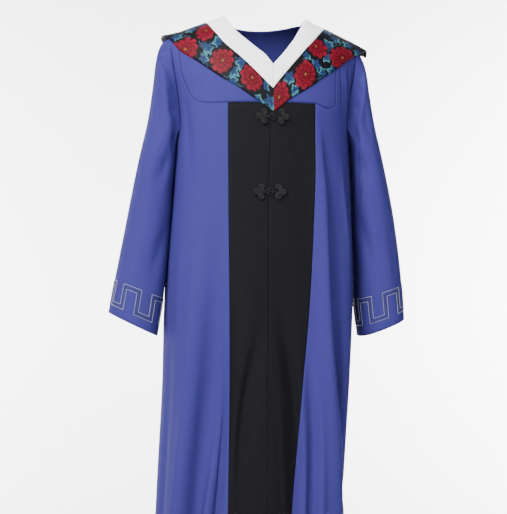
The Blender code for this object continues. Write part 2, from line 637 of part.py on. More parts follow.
def build_frog(name, across, drop):
    """One fastening, set on the panels' surface where the two halves meet."""
    spot = place(np.array([across]), np.array([drop]))
    point = body(spot[:, 0], spot[:, 1])[0]
    out = Vector(body_outward(spot[:, 0], spot[:, 1])[0])
    sideways = Vector((1, 0, 0))
    sideways = (sideways - out * sideways.dot(out)).normalized()
    upwards = out.cross(sideways)
    seat = Vector(point) + out * (CORD / 2 + LAY)
    frame = Matrix((sideways, upwards, out)).transposed().to_4x4()
    frame.translation = seat
    build_rosette("frog_" + name + "_right", RIGHT, True, frame)
    build_rosette("frog_" + name + "_left", LEFT, False, frame)
    knot = union([ball((0, 0, KNOT_RISE), KNOT, KNOT_SEGMENTS)])
    knot.transform(frame)
    knot.shade_smooth()
    add_solid("frog_" + name + "_knot", knot, "cord")


for old in list(bpy.data.objects):
    bpy.data.objects.remove(old)
gown = bpy.data.collections.new("graduation_gown")
bpy.context.scene.collection.children.link(gown)

for wearer_side in (RIGHT, LEFT):
    build_yoke(wearer_side)
    build_front(wearer_side)
    build_panel(wearer_side)
    build_sleeve(wearer_side)
    build_collar(wearer_side)
build_back()
for frog, (frog_across, frog_drop) in FROG_PLACES.items():
    build_frog(frog, frog_across, frog_drop)
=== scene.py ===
"""Graduation gown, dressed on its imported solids.

Metres, +Z up, the wearer faces -Y and the wearer's right is -X. A place on the gown is a heading
round the body (0 in front, 90 degrees at the wearer's left, 180 behind) and a level: minus the
distance below the chest line, or above it the angle of climb up to the shoulder ridge.
"""
import bpy
import numpy as np
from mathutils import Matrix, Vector


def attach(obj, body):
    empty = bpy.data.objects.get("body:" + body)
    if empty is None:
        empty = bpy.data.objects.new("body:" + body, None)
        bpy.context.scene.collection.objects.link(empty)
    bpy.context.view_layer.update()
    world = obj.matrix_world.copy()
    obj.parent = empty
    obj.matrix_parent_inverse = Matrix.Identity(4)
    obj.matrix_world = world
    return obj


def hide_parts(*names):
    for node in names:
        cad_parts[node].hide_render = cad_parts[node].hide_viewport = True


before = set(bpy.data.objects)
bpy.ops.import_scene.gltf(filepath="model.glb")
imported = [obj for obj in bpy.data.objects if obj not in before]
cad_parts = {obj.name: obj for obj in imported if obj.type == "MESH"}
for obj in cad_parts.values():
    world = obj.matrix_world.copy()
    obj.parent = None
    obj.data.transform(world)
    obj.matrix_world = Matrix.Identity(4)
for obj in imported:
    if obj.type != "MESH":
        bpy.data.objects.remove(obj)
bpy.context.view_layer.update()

# Gown cloth
# The gown is cut from smooth blue polyester twill with a soft sheen. Its panels share one
# draped surface, so seams meet, and every panel hangs in the folds that run down from the yokes.
LENGTH = 1.160                  # from the neck to the hem
CHEST = 0.210                   # drop of the chest line, where the shoulders' slope starts
SQUARENESS = 2.6                # 2 is an oval; more fills out its corners
SHOULDER_SPREAD = 0.052         # how much wider on each side a ring is at the shoulder ridge
BACK_FULLNESS = 0.7             # below 1 the upper back keeps its depth longer as it climbs
GIRTH_RADIUS = 0.17             # turns an angle round the body into a distance
NECK = 0.075                    # how far out the shoulder ridge stays level
KNEE = 0.680                    # drop at which a fold that starts at KNEE_TOP bends
KNEE_TOP = 0.300
KNEE_SHIFT = 0.5                # how far the bend moves for each metre that the start moves
QUARTER = np.pi / 2
RIGHT, LEFT = -1, 1
SIDE_NAMES = {RIGHT: "right", LEFT: "left"}

# Rings of the body, chest to hem: half widths on each side, reach to the front and to the back
BODY = {
    "drop": (0.210, 0.350, 0.545, 0.700, 0.860, 1.000, 1.160),
    "right": (0.166, 0.176, 0.190, 0.194, 0.203, 0.210, 0.218),
    "left": (0.164, 0.170, 0.174, 0.167, 0.156, 0.148, 0.145),
    "front": (0.130, 0.136, 0.146, 0.153, 0.160, 0.166, 0.172),
    "back": (0.110, 0.116, 0.126, 0.133, 0.140, 0.146, 0.152),
}
# Height of the shoulder ridge at the neck, and its fall for each metre outwards
RIDGE = {RIGHT: (0.006, 0.38), LEFT: (0.0062, 0.46)}

# Large folds: drop where one starts, heading in degrees there, at the knee and at the hem,
# spread on each side, and how far it stands out at the knee and at the hem
FOLD_COLUMNS = ("top", "heading", "at_knee", "at_hem", "before", "after", "knee_out", "hem_out")
FOLDS = (
    (0.300, -23, -31, -46, 0.020, 0.016, -0.007, -0.020),
    (0.420, -44, -50, -62, 0.024, 0.024, 0.004, 0.012),
    (0.330, -66, -72, -80, 0.020, 0.020, -0.004, -0.014),
    (0.170, 27, 36, 60, 0.034, 0.016, 0.007, 0.014),
    (0.300, 45, 46, 72, 0.017, 0.017, -0.007, -0.010),
    (0.280, 56, 60, 52, 0.018, 0.022, 0.004, -0.003),
    (0.560, 15, 21, 25, 0.017, 0.017, -0.005, -0.010),
    (0.480, -2, -8, -17, 0.016, 0.014, -0.005, -0.012),
    (0.450, 1, 8, 12, 0.018, 0.020, -0.006, -0.016),
    (0.520, -1, -2, -3, 0.017, 0.015, 0.003, 0.007),
    (0.320, 104, 108, 112, 0.024, 0.024, -0.006, -0.016),
    (0.260, 132, 136, 140, 0.026, 0.026, 0.006, 0.016),
    (0.300, 156, 158, 160, 0.022, 0.022, -0.008, -0.018),
    (0.250, 180, 180, 180, 0.028, 0.028, 0.006, 0.016),
    (0.300, -156, -158, -161, 0.022, 0.022, -0.008, -0.018),
    (0.260, -132, -135, -139, 0.026, 0.026, 0.006, 0.016),
    (0.320, -106, -110, -114, 0.024, 0.024, -0.006, -0.016),
)

# Creases: places as drop and across from top to bottom, spread on the side towards the wearer's
# right and on the other, how far each stands out, and the shares over which its ends fade
CREASE_COLUMNS = ("drops", "across", "before", "after", "out", "fade_in", "fade_out")
CREASES = {
    "front": (
        ((0.12, 0.19, 0.34), (-0.158, -0.152, -0.148), 0.010, 0.012, -0.0030, 0.4, 0.5),
        ((0.10, 0.16), (-0.122, -0.143), 0.008, 0.010, -0.0014, 0.5, 0.5),
        ((0.34, 0.46, 0.59, 0.78, 0.94, 1.16), (-0.082, -0.086, -0.090, -0.104, -0.115, -0.136),
         0.034, 0.026, -0.0295, 0.55, 0),
        ((0.30, 0.55, 0.80, 1.16), (-0.126, -0.143, -0.165, -0.196), 0.016, 0.018, 0.0040, 0.4, 0),
        ((0.20, 0.35, 0.59, 0.78, 0.94, 1.16), (0.092, 0.103, 0.112, 0.124, 0.138, 0.146),
         0.020, 0.0062, 0.0092, 0.15, 0),
        ((0.20, 0.35, 0.59, 0.78, 0.94, 1.16), (0.100, 0.112, 0.121, 0.133, 0.147, 0.156),
         0.0078, 0.022, -0.0190, 0.25, 0),
        ((0.24, 0.35, 0.43, 0.56), (0.138, 0.145, 0.153, 0.158), 0.006, 0.004, 0.0036, 0.4, 0.5),
        ((0.60, 0.73, 0.80, 0.95), (0.150, 0.142, 0.136, 0.128), 0.004, 0.006, 0.0038, 0.3, 0.5),
        ((0.60, 0.72, 0.80, 0.91, 1.16), (0.066, 0.075, 0.079, 0.077, 0.070), 0.011, 0.010,
         -0.0100, 0.4, 0),
        ((0.62, 0.80, 1.16), (0.086, 0.094, 0.088), 0.006, 0.007, 0.0034, 0.5, 0),
        ((0.08, 0.13, 0.21), (0.139, 0.142, 0.144), 0.003, 0.003, -0.0020, 0.3, 0.4),
        ((0.09, 0.14, 0.23), (0.150, 0.152, 0.153), 0.004, 0.004, 0.0022, 0.3, 0.4),
        ((0.08, 0.14, 0.20), (0.160, 0.161, 0.159), 0.003, 0.003, -0.0022, 0.3, 0.4),
        ((0.55, 0.72, 0.95), (-0.014, -0.050, -0.066), 0.009, 0.014, -0.0080, 0.4, 0.5),
        ((0.50, 0.61, 0.70, 0.80, 1.05), (0.008, 0.026, 0.041, 0.048, 0.052), 0.014, 0.008,
         -0.0090, 0.4, 0.4),
        ((0.70, 0.90, 1.16), (-0.030, -0.036, -0.040), 0.010, 0.008, 0.0024, 0.5, 0),
        ((0.60, 0.85, 1.16), (0.010, 0.020, 0.024), 0.006, 0.008, 0.0026, 0.5, 0),
        ((0.17, 0.24, 0.33), (-0.060, -0.052, -0.050), 0.010, 0.010, -0.0009, 0.5, 0.5),
        ((0.20, 0.30), (0.040, 0.052), 0.009, 0.011, -0.0008, 0.5, 0.5),
    ),
    "back": (
        ((0.16, 0.40, 0.80, 1.16), (-0.060, -0.066, -0.074, -0.080), 0.010, 0.013, -0.0030, 0.5, 0),
        ((0.22, 0.55, 1.16), (-0.030, -0.034, -0.040), 0.012, 0.010, 0.0024, 0.5, 0),
        ((0.19, 0.45, 0.85, 1.16), (0.055, 0.061, 0.067, 0.078), 0.012, 0.009, -0.0032, 0.5, 0),
        ((0.28, 0.70, 1.16), (0.030, 0.028, 0.036), 0.009, 0.012, 0.0026, 0.5, 0),
        ((0.10, 0.20, 0.36), (-0.110, -0.118, -0.124), 0.010, 0.012, -0.0026, 0.5, 0.5),
        ((0.12, 0.22, 0.33), (0.108, 0.117, 0.121), 0.011, 0.010, -0.0028, 0.5, 0.5),
        ((0.42, 0.75, 1.16), (-0.108, -0.118, -0.132), 0.009, 0.012, -0.0030, 0.5, 0),
        ((0.38, 0.70, 1.16), (0.100, 0.104, 0.098), 0.012, 0.009, -0.0028, 0.5, 0),
        ((0.62, 0.90, 1.16), (0.004, -0.003, 0.002), 0.008, 0.008, -0.0022, 0.5, 0),
    ),
}
CREASE_REACH = 0.20             # least share of a slanted surface that faces front or back
FOLD_WANDER = 0.0007            # depth of the soft unevenness all over the cloth
# Its waves: how fast each one turns across, back and up, and where it starts
WANDER_WAVES = ((31, 17, 9, 0.0), (-14, 23, 7, 1.7), (47, -29, -5, 0.6))
SHELL = 0.0009                  # thickness of the cloth
TUCK = (0.0006, 0.0016)         # depth and reach of the dip where a panel turns into a seam
HEM = (0.022, 0.0005)           # width of the turned hem and how far its fold stands proud
HEM_EASE = 0.002                # height over which the hem's upper edge runs out
CROWDING = 0.55                 # share of the rows' and columns' pull towards the seams


def flow(at, knots, values):
    """A smooth line through the knots: cubic pieces that share the average slope at each knot."""
    knots = np.asarray(knots, float)
    values = np.asarray(values, float)
    slope = np.gradient(values, knots)
    at = np.clip(at, knots[0], knots[-1])
    piece = np.clip(np.searchsorted(knots, at) - 1, 0, len(knots) - 2)
    width = knots[piece + 1] - knots[piece]
    share = (at - knots[piece]) / width
    rest = 1 - share
    start = rest * rest * (1 + 2 * share) * values[piece] + rest * rest * share * width * slope[piece]
    end = share * share * (3 - 2 * share) * values[piece + 1]
    return start + end - share * share * rest * width * slope[piece + 1]


def ease(share):
    """Rises smoothly from 0 to 1 as its share does: three squares less two cubes."""
    share = np.clip(share, 0, 1)
    return share * share * (3 - 2 * share)


def bell(distance, reach):
    """1 at no distance, falling off both ways: e to minus the square of distance over reach."""
    return np.exp(-(distance / reach) ** 2)


def unit(arrows):
    """The same directions with length 1: each arrow over its own length."""
    return arrows / np.linalg.norm(arrows, axis=-1, keepdims=True)


def nearest_turn(angle):
    """The same angle between minus and plus half a turn."""
    return (angle + np.pi) % (2 * np.pi) - np.pi


def ridge(across):
    """Height of the shoulder ridge: level over the neck, then falling outwards on each side."""
    height = np.where(np.asarray(across) < 0, RIDGE[RIGHT][0], RIDGE[LEFT][0])
    fall = np.where(np.asarray(across) < 0, RIDGE[RIGHT][1], RIDGE[LEFT][1])
    return height - fall * np.maximum(np.abs(across) - NECK, 0)


def half_width(side, drop, climb):
    """Half width of the ring at a drop on one side, spreading as the cloth climbs to the ridge."""
    rings = np.where(side < 0, flow(drop, BODY["drop"], BODY["right"]),
                     flow(drop, BODY["drop"], BODY["left"]))
    return rings + SHOULDER_SPREAD * np.sin(climb) ** 2


def fold_depth(heading, drop):
    """How far the large folds push the cloth out: a bell across each, growing down its path."""
    out = np.zeros(np.broadcast(heading, drop).shape)
    for row in FOLDS:
        fold = dict(zip(FOLD_COLUMNS, row))
        stations = (fold["top"], KNEE + KNEE_SHIFT * (fold["top"] - KNEE_TOP), LENGTH)
        path = np.radians(flow(drop, stations, (fold["heading"], fold["at_knee"], fold["at_hem"])))
        turn = nearest_turn(heading - path)
        spread = np.where(turn < 0, fold["before"], fold["after"])
        grown = np.interp(drop, stations, (0, fold["knee_out"], fold["hem_out"]))
        out = out + grown * bell(turn * GIRTH_RADIUS, spread)
    return out


def body(heading, level):
    """Point of the draped surface: a squared ring, climbing like a quarter ellipse to the
    shoulder ridge above the chest line, moved out along the ring by the large folds."""
    heading = np.asarray(heading, float)
    level = np.asarray(level, float)
    side = np.sign(np.sin(heading))
    facing = -np.sign(np.cos(heading))
    climb = np.clip(level, 0, QUARTER)
    drop = CHEST + np.maximum(-level, 0)
    wide = half_width(side, drop, climb)
    deep = np.where(facing < 0, flow(drop, BODY["drop"], BODY["front"]),
                    flow(drop, BODY["drop"], BODY["back"]))
    along = np.abs(np.sin(heading)) ** (2 / SQUARENESS)
    ahead = np.abs(np.cos(heading)) ** (2 / SQUARENESS)
    fullness = np.where(facing < 0, 1.0, BACK_FULLNESS)
    x = side * wide * along
    y = facing * deep * ahead * np.cos(climb).clip(0) ** fullness
    z = (ridge(x) + CHEST) * np.sin(climb) ** fullness - drop
    outward = unit(np.stack([side * along ** (SQUARENESS - 1) / wide,
                             facing * ahead ** (SQUARENESS - 1) / deep, np.zeros_like(x)], -1))
    return np.stack([x, y, z], -1) + outward * fold_depth(heading, -z)[..., None]


def body_outward(heading, level):
    """Direction square to the surface, from the slopes along both of its parameters."""
    step = 0.004
    around = body(heading + step, level) - body(heading - step, level)
    upward = body(heading, level + step) - body(heading, level - step)
    return unit(np.cross(around, upward))


def climb_at(across, drop):
    """Climb of a place seen from the front; nothing on the ridge, where drop is 0."""
    share = (CHEST - np.asarray(drop, float)) / (ridge(across) + CHEST)
    return np.where(np.asarray(drop) == 0, QUARTER, np.arcsin(np.clip(share, 0, 1)))


def place(across, drop):
    """Heading and level of a place seen from the front, right of the middle being negative."""
    across = np.asarray(across, float)
    drop = np.asarray(drop, float)
    climb = climb_at(across, drop)
    wide = half_width(np.sign(across), np.maximum(drop, CHEST), climb)
    sweep = np.arcsin(np.clip(np.abs(across) / wide, 0, 1) ** (SQUARENESS / 2))
    level = np.where(drop > CHEST, CHEST - drop, climb)
    return np.stack([np.sign(across) * sweep, level], -1)


def over_shoulder(across, climb):
    """Heading and level of a place by its climb, which goes on past the ridge to the back."""
    climb = np.asarray(climb, float)
    level = np.minimum(climb, np.pi - climb)
    wide = half_width(np.sign(across), CHEST, level)
    sweep = np.arcsin(np.clip(np.abs(across) / wide, 0, 1) ** (SQUARENESS / 2))
    heading = np.where(climb > QUARTER, np.pi - sweep, sweep)
    return np.stack([np.sign(across) * heading, level], -1)


def crease_depth(points, out):
    """How far the creases push the cloth out: a bell across each path, measured along the cloth,
    that fades in and out along it."""
    drop = -points[..., 2]
    depth = np.zeros(drop.shape)
    for name, facing in (("front", -1), ("back", 1)):
        seen = ease(facing * out[..., 1] / CREASE_REACH)
        for row in CREASES[name]:
            crease = dict(zip(CREASE_COLUMNS, row))
            drops = crease["drops"]
            share = (drop - drops[0]) / (drops[-1] - drops[0])
            away = points[..., 0] - flow(drop, drops, crease["across"])
            away = away / np.maximum(np.abs(out[..., 1]), CREASE_REACH)
            spread = np.where(away < 0, crease["before"], crease["after"])
            window = ease(share / max(crease["fade_in"], 1e-6))
            if crease["fade_out"]:
                window = window * ease((1 - share) / crease["fade_out"])
            depth += crease["out"] * window * seen * bell(away, spread)
    return depth


def wander(points):
    """Soft unevenness: the mean of slow sine waves that cross at odd angles."""
    waves = sum(np.sin(points @ np.array(wave[:3]) + wave[3]) for wave in WANDER_WAVES)
    return FOLD_WANDER * waves / len(WANDER_WAVES)


def crowded(count):
    """Shares from 0 to 1 that stand closer near both ends."""
    even = np.linspace(0, 1, count)
    return (1 - CROWDING) * even + CROWDING * (0.5 - 0.5 * np.cos(np.pi * even))


def metric_map(points):
    """Distances in metres along the rows and down the columns of a grid, from its first corner."""
    along = np.linalg.norm(np.diff(points, axis=1), axis=-1)
    down = np.linalg.norm(np.diff(points, axis=0), axis=-1)
    u = np.concatenate([np.zeros((len(points), 1)), np.cumsum(along, axis=1)], axis=1)
    v = np.concatenate([np.zeros((1, points.shape[1])), np.cumsum(down, axis=0)])
    return np.stack([u, v], -1)


def dip(distance, shape):
    """A dip of the depth and reach given in shape, deepest at no distance."""
    return shape[0] * bell(distance, shape[1])


def hem_fold(above):
    """How far the turned hem stands proud at a height above the edge: its full step up to the
    hem's width, eased off at the top."""
    return HEM[1] * ease((HEM[0] - above) / HEM_EASE)


def tucked(points, out, seams, hem=False):
    """Turns the edges named in seams down into them, by a dip at each edge, and gives the bottom
    edge its hem."""
    distance = metric_map(points)
    reach = {"first": distance[..., 0], "last": distance[:, -1:, 0] - distance[..., 0],
             "top": distance[..., 1], "bottom": distance[-1:, :, 1] - distance[..., 1]}
    depth = np.zeros(points.shape[:2])
    for edge in seams:
        depth -= dip(reach[edge], TUCK)
    if hem:
        depth += hem_fold(reach["bottom"])
    return points + out * depth[..., None]


def surface_of(grid):
    """Creased surface and its outward direction on a grid of headings and levels."""
    points = body(grid[..., 0], grid[..., 1])
    out = body_outward(grid[..., 0], grid[..., 1])
    return points + out * (crease_depth(points, out) + wander(points))[..., None], out


def cloth_mesh(name, points, out, tube=False):
    """Mesh of a grid of points with a map in metres; a tube's grid goes round. Its faces are
    wound so that they face outwards."""
    rows, columns = points.shape[:2]
    index = np.arange(rows * columns).reshape(rows, columns)
    ring = points
    if tube:
        index = np.concatenate([index, index[:, :1]], axis=1)
        ring = np.concatenate([points, points[:, :1]], axis=1)
    mapped = metric_map(ring)
    order = ((0, 0), (1, 0), (1, 1), (0, 1))
    middle = (rows // 2, columns // 2)
    around = points[middle[0], middle[1] + 1] - points[middle]
    down = points[middle[0] + 1, middle[1]] - points[middle]
    if np.dot(np.cross(down, around), out[middle]) < 0:
        order = order[::-1]
    pick = [slice(row, row - 1 or None) for row in (0, 1)]
    faces = np.stack([index[pick[r], pick[c]] for r, c in order], -1).reshape(-1, 4)
    corners = np.stack([mapped[pick[r], pick[c]] for r, c in order], -2).reshape(-1, 2)
    mesh = bpy.data.meshes.new(name)
    mesh.from_pydata(points.reshape(-1, 3).tolist(), [], faces.tolist())
    mesh.uv_layers.new(name="cloth").data.foreach_set("uv", corners.astype(np.float32).ravel())
    mesh.shade_smooth()
    return mesh


def dress(name, mesh, material, solids, shell=0.0):
    """Puts a finished mesh in the scene in place of its solids, with a cloth's thickness inwards."""
    mesh.materials.append(material)
    piece = bpy.data.objects.new(name, mesh)
    bpy.context.scene.collection.objects.link(piece)
    if shell:
        thickness = piece.modifiers.new("cloth", "SOLIDIFY")
        thickness.thickness = shell
        thickness.offset = -1
    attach(piece, "root")
    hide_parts(*solids)
    return piece


def sewn(solid, suffix, points, out, material, tube=False):
    """A cloth piece on a grid of points, with the shell's thickness, in place of one solid."""
    name = solid + suffix
    return dress(name, cloth_mesh(name, points, out, tube), material, [solid], SHELL)


def linear(red, green, blue):
    """Linear colour of 8-bit screen values."""
    return tuple(((value / 255 + 0.055) / 1.055) ** 2.4 for value in (red, green, blue)) + (1,)


def add_node(tree, kind, inputs=(), **settings):
    """One shader node, its settings applied and its inputs linked or set by number or name."""
    node = tree.nodes.new(kind)
    for name, value in settings.items():
        setattr(node, name, value)
    for socket, value in dict(inputs).items():
        if isinstance(value, bpy.types.NodeSocket):
            tree.links.new(value, node.inputs[socket])
        else:
            node.inputs[socket].default_value = value
    return node


def worked_out(tree, operation, first, second=0.0):
    """Result of one sum on two values."""
    node = add_node(tree, "ShaderNodeMath", {0: first, 1: second}, operation=operation)
    return node.outputs[0]


def between(tree, share, dark, light):
    """Colour between two tones, by a share that changes over the surface."""
    mix = add_node(tree, "ShaderNodeMix", {0: share, 6: dark, 7: light}, data_type="RGBA")
    return mix.outputs[2]


def new_material(name):
    """A material, its node tree and its one shader."""
    material = bpy.data.materials.new(name)
    material.use_nodes = True
    return material, material.node_tree, material.node_tree.nodes["Principled BSDF"]


def twill_group():
    """Twill: ribs of two crossing sets of threads, each on top where the diagonal passes it.
    Height is the relief and Shade the light and dark of single threads."""
    group = bpy.data.node_groups.new("twill weave", "ShaderNodeTree")
    sockets = (("Place", "INPUT", "NodeSocketVector"), ("Threads", "INPUT", "NodeSocketFloat"),
               ("Height", "OUTPUT", "NodeSocketFloat"), ("Shade", "OUTPUT", "NodeSocketFloat"))
    for name, way, kind in sockets:
        group.interface.new_socket(name, in_out=way, socket_type=kind)
    given = group.nodes.new("NodeGroupInput").outputs
    split = add_node(group, "ShaderNodeSeparateXYZ", {0: given["Place"]}).outputs
    counts = []
    ribs = []
    for part in (0, 1):
        count = worked_out(group, "MULTIPLY", split[part], given["Threads"])
        half_waves = worked_out(group, "MULTIPLY", count, np.pi)
        counts.append(count)
        ribs.append(worked_out(group, "ABSOLUTE", worked_out(group, "SINE", half_waves)))
    diagonal = worked_out(group, "MULTIPLY", worked_out(group, "ADD", *counts), QUARTER)
    over = worked_out(group, "MULTIPLY_ADD", worked_out(group, "SINE", diagonal), 0.5)
    over.node.inputs[2].default_value = 0.5
    crossing = add_node(group, "ShaderNodeMix", {0: over, 2: ribs[0], 3: ribs[1]},
                        data_type="FLOAT")
    spread = add_node(group, "ShaderNodeVectorMath", {0: given["Place"], 1: (900, 140, 1)},
                      operation="MULTIPLY")
    slub = add_node(group, "ShaderNodeTexNoise", {"Vector": spread.outputs[0], "Scale": 1.0,
                                                  "Detail": 3.0})
    result = group.nodes.new("NodeGroupOutput")
    group.links.new(crossing.outputs[0], result.inputs["Height"])
    group.links.new(slub.outputs[0], result.inputs["Shade"])
    return group


def drape_group():
    """Slow change of tone over a large cloth: two layers of noise on the piece's own places."""
    group = bpy.data.node_groups.new("drape tone", "ShaderNodeTree")
    group.interface.new_socket("Size", in_out="INPUT", socket_type="NodeSocketFloat")
    group.interface.new_socket("Tone", in_out="OUTPUT", socket_type="NodeSocketFloat")
    given = group.nodes.new("NodeGroupInput").outputs
    where = group.nodes.new("ShaderNodeTexCoord").outputs["Object"]
    broad = add_node(group, "ShaderNodeTexNoise", {"Vector": where, "Scale": given["Size"],
                                                   "Detail": 2.0})
    fine_scale = worked_out(group, "MULTIPLY", given["Size"], 9.0)
    fine = add_node(group, "ShaderNodeTexNoise", {"Vector": where, "Scale": fine_scale,
                                                  "Detail": 4.0})
    tone = add_node(group, "ShaderNodeMix", {0: 0.3, 2: broad.outputs[0], 3: fine.outputs[0]},
                    data_type="FLOAT")
    result = group.nodes.new("NodeGroupOutput")
    group.links.new(tone.outputs[0], result.inputs["Tone"])
    return group


TWILL = twill_group()
DRAPE = drape_group()


def cloth_material(name, dark, light, roughness, sheen, relief, threads=2600.0, tones=7.0,
                   shine=0.15):
    """Woven cloth between two close tones, with its twill as relief and a soft sheen."""
    material, tree, shader = new_material(name)
    mapped = add_node(tree, "ShaderNodeUVMap", uv_map="cloth").outputs[0]
    twill = add_node(tree, "ShaderNodeGroup", node_tree=TWILL)
    tree.links.new(mapped, twill.inputs["Place"])
    twill.inputs["Threads"].default_value = threads
    drape = add_node(tree, "ShaderNodeGroup", node_tree=DRAPE)
    drape.inputs["Size"].default_value = tones
    tone = add_node(tree, "ShaderNodeMix", {0: 0.5, 2: drape.outputs["Tone"],
                                            3: twill.outputs["Shade"]}, data_type="FLOAT")
    colour = between(tree, tone.outputs[0], dark, light)
    rough = add_node(tree, "ShaderNodeMapRange", {0: tone.outputs[0], 3: roughness - 0.06,
                                                  4: roughness + 0.06})
    bump = add_node(tree, "ShaderNodeBump", {"Height": twill.outputs["Height"], "Distance": 0.0002,
                                             "Strength": relief})
    tree.links.new(colour, shader.inputs["Base Color"])
    tree.links.new(rough.outputs[0], shader.inputs["Roughness"])
    tree.links.new(bump.outputs[0], shader.inputs["Normal"])
    shader.inputs["Sheen Weight"].default_value = sheen
    shader.inputs["Sheen Roughness"].default_value = 0.45
    shader.inputs["Specular IOR Level"].default_value = shine
    return material


blue_cloth = cloth_material("blue gown cloth", linear(41, 39, 92), linear(51, 48, 106),
                            0.78, 0.0, 0.25, shine=0.02)

# Armholes and seams
# Each side front is sewn to the back at the side, and both end in the armhole, which runs
# from the shoulder's end down into a scoop under the arm. Plain seams, pressed flat.
SEAM = 0.0003                   # gap between two panels at a seam
SIDE_TURN = 0.00003             # turn off the side that leaves a hair between front and back
SCOOP = 0.022                   # depth of the scoop under the arm
SCOOP_MIDDLE = (0.55, 0.75)     # shares of its heading and of its depth at its middle point
ARMHOLE_LOW = 0.975             # share of the half width at the chest line, and at the ridge
ARMHOLE_HIGH = 0.824
ARMHOLE_TURN = 3                # power that keeps the edge upright and bends it in near the ridge
ARMHOLE_CLIMB = (90, 70, 52, 38, 26, 16, 7, 0)  # stations from the ridge down, as climbs
ARMHOLE_STEPS = 10              # points to each of the armhole's stations
RIDGE_SEAM = 0.0015             # turn off the ridge that leaves a hair between front and back


def armhole(side, behind):
    """Armhole edge of a front or the back: down the end of the shoulder, then the scoop."""
    stations = np.arange(len(ARMHOLE_CLIMB))
    finer = np.linspace(0, stations[-1], stations[-1] * ARMHOLE_STEPS + 1)
    climb = np.radians(flow(finer, stations, ARMHOLE_CLIMB))
    share = ARMHOLE_LOW + (ARMHOLE_HIGH - ARMHOLE_LOW) * np.sin(climb) ** ARMHOLE_TURN
    edge = over_shoulder(side * half_width(side, CHEST, climb) * share, climb)
    if behind:
        edge[:, 0] = side * np.pi - edge[:, 0]
    under_heading = side * QUARTER
    start_heading = edge[-1, 0]
    middle_heading = start_heading + SCOOP_MIDDLE[0] * (under_heading - start_heading)
    turns = np.linspace(0, 2, 2 * ARMHOLE_STEPS + 1)[1:]
    heading = flow(turns, (0, 1, 2), (start_heading, middle_heading, under_heading))
    level = flow(turns, (0, 1, 2), (0, -SCOOP_MIDDLE[1] * SCOOP, -SCOOP))
    return np.concatenate([edge, np.stack([heading, level], -1)])


def read_rows(at, knots, table):
    """A table's columns read at places among its rows, in straight lines from row to row."""
    return np.stack([np.interp(at, knots, column) for column in np.transpose(table)], -1)


def resampled(path, count):
    """A path with its points spread evenly over its rows."""
    return read_rows(np.linspace(0, len(path) - 1, count), np.arange(len(path)), path)


def outer_edge(side, behind, armhole_rows, seam_rows, scoop_rows=0):
    """Armhole and side seam of a front or the back, the seam a hair off the side. The scoop can
    have rows of its own."""
    shift = SIDE_TURN * (side if behind else -side)
    rim = armhole(side, behind)
    if scoop_rows:
        start = (len(ARMHOLE_CLIMB) - 1) * ARMHOLE_STEPS
        scoop = resampled(rim[start:], scoop_rows + 1)[1:]
        rim = np.concatenate([resampled(rim[:start + 1], armhole_rows), scoop])
    else:
        rim = resampled(rim, armhole_rows)
    rim[-1, 0] += shift
    drops = np.linspace(CHEST + SCOOP, LENGTH, seam_rows + 1)[1:]
    seam = np.stack([np.full(len(drops), side * QUARTER + shift), CHEST - drops], -1)
    return np.concatenate([rim, seam])


# Back
# One plain panel of the blue cloth from the shoulder seams and the back neckline to the hem.
# It hangs free of the body in broad soft folds that start below the shoulder blades.
NECK_SCOOP = 24                 # how far the back neckline dips behind the ridge, in degrees
NECKLINE = 0.094                # half width of that dip
BACK_ROWS = (42, 110)           # rows beside the armhole and below it
BACK_COLUMNS = 140


def build_back():
    """The back's grid: straight lines in heading and level from one outer edge to the other,
    its top row dropped behind the neck along an ellipse."""
    left = outer_edge(LEFT, True, *BACK_ROWS)
    right = outer_edge(RIGHT, True, *BACK_ROWS)
    right[:, 0] += 2 * np.pi
    shares = np.linspace(0, 1, BACK_COLUMNS)[None, :, None]
    grid = left[:, None] * (1 - shares) + right[:, None] * shares
    top_reach = np.abs(body(grid[0, :, 0], np.full(BACK_COLUMNS, QUARTER))[:, 0])
    dip = np.radians(NECK_SCOOP) * np.clip(1 - (top_reach / NECKLINE) ** 2, 0, 1) ** 0.5
    dip = np.maximum(dip, RIDGE_SEAM)
    grid[..., 1] = np.where(grid[..., 1] > 0, grid[..., 1] * (1 - dip / QUARTER), grid[..., 1])
    points, out = surface_of(grid)
    points = tucked(points, out, ("first", "last", "top"), hem=True)
    return sewn("back", "_cloth", points, out, blue_cloth)


build_back()

# Yokes
# Two rounded yokes of the blue cloth cover the chest under the collar. Each runs from the
# neckline over the shoulder and is sewn along a curve to the side front and to the black panel.
YOKE_DROP = 0.172               # drop of the yokes' lower edge, where the black panels start
MITRE = 0.0030                  # across of the point where yokes, panels and band meet
PANEL_STEPS = 5                 # stations of a panel's top edge, from the opening outwards
YOKE_STEPS = 8                  # points to each station of the yoke's edges
CORNER = 6                      # station of the seam where the yoke's outer edge turns inwards

# Seam between yoke and side front, as seen from the front: across and drop
YOKE_SEAM = {
    RIGHT: ((0.1665, 0), (0.1665, 0.055), (0.165, 0.082), (0.1617, 0.110), (0.153, 0.137),
            (0.1443, 0.1555), (0.132, 0.168), (0.108, 0.172), (0.0785, YOKE_DROP)),
    LEFT: ((0.138, 0), (0.136, 0.060), (0.133, 0.085), (0.130, 0.112), (0.1285, 0.138),
           (0.1285, 0.158), (0.124, 0.175), (0.108, 0.1795), (0.0855, YOKE_DROP)),
}
# Neckline's line under the band and collar, from the ridge to the mitre: across and drop
YOKE_NECKLINE = {
    RIGHT: ((0.1346, 0), (0.0852, 0.0218), (0.0619, 0.0530), (0.0292, 0.0845),
            (MITRE, YOKE_DROP)),
    LEFT: ((0.1462, 0), (0.0850, 0.0262), (0.0640, 0.0535), (0.0382, 0.0843),
           (MITRE, YOKE_DROP)),
}


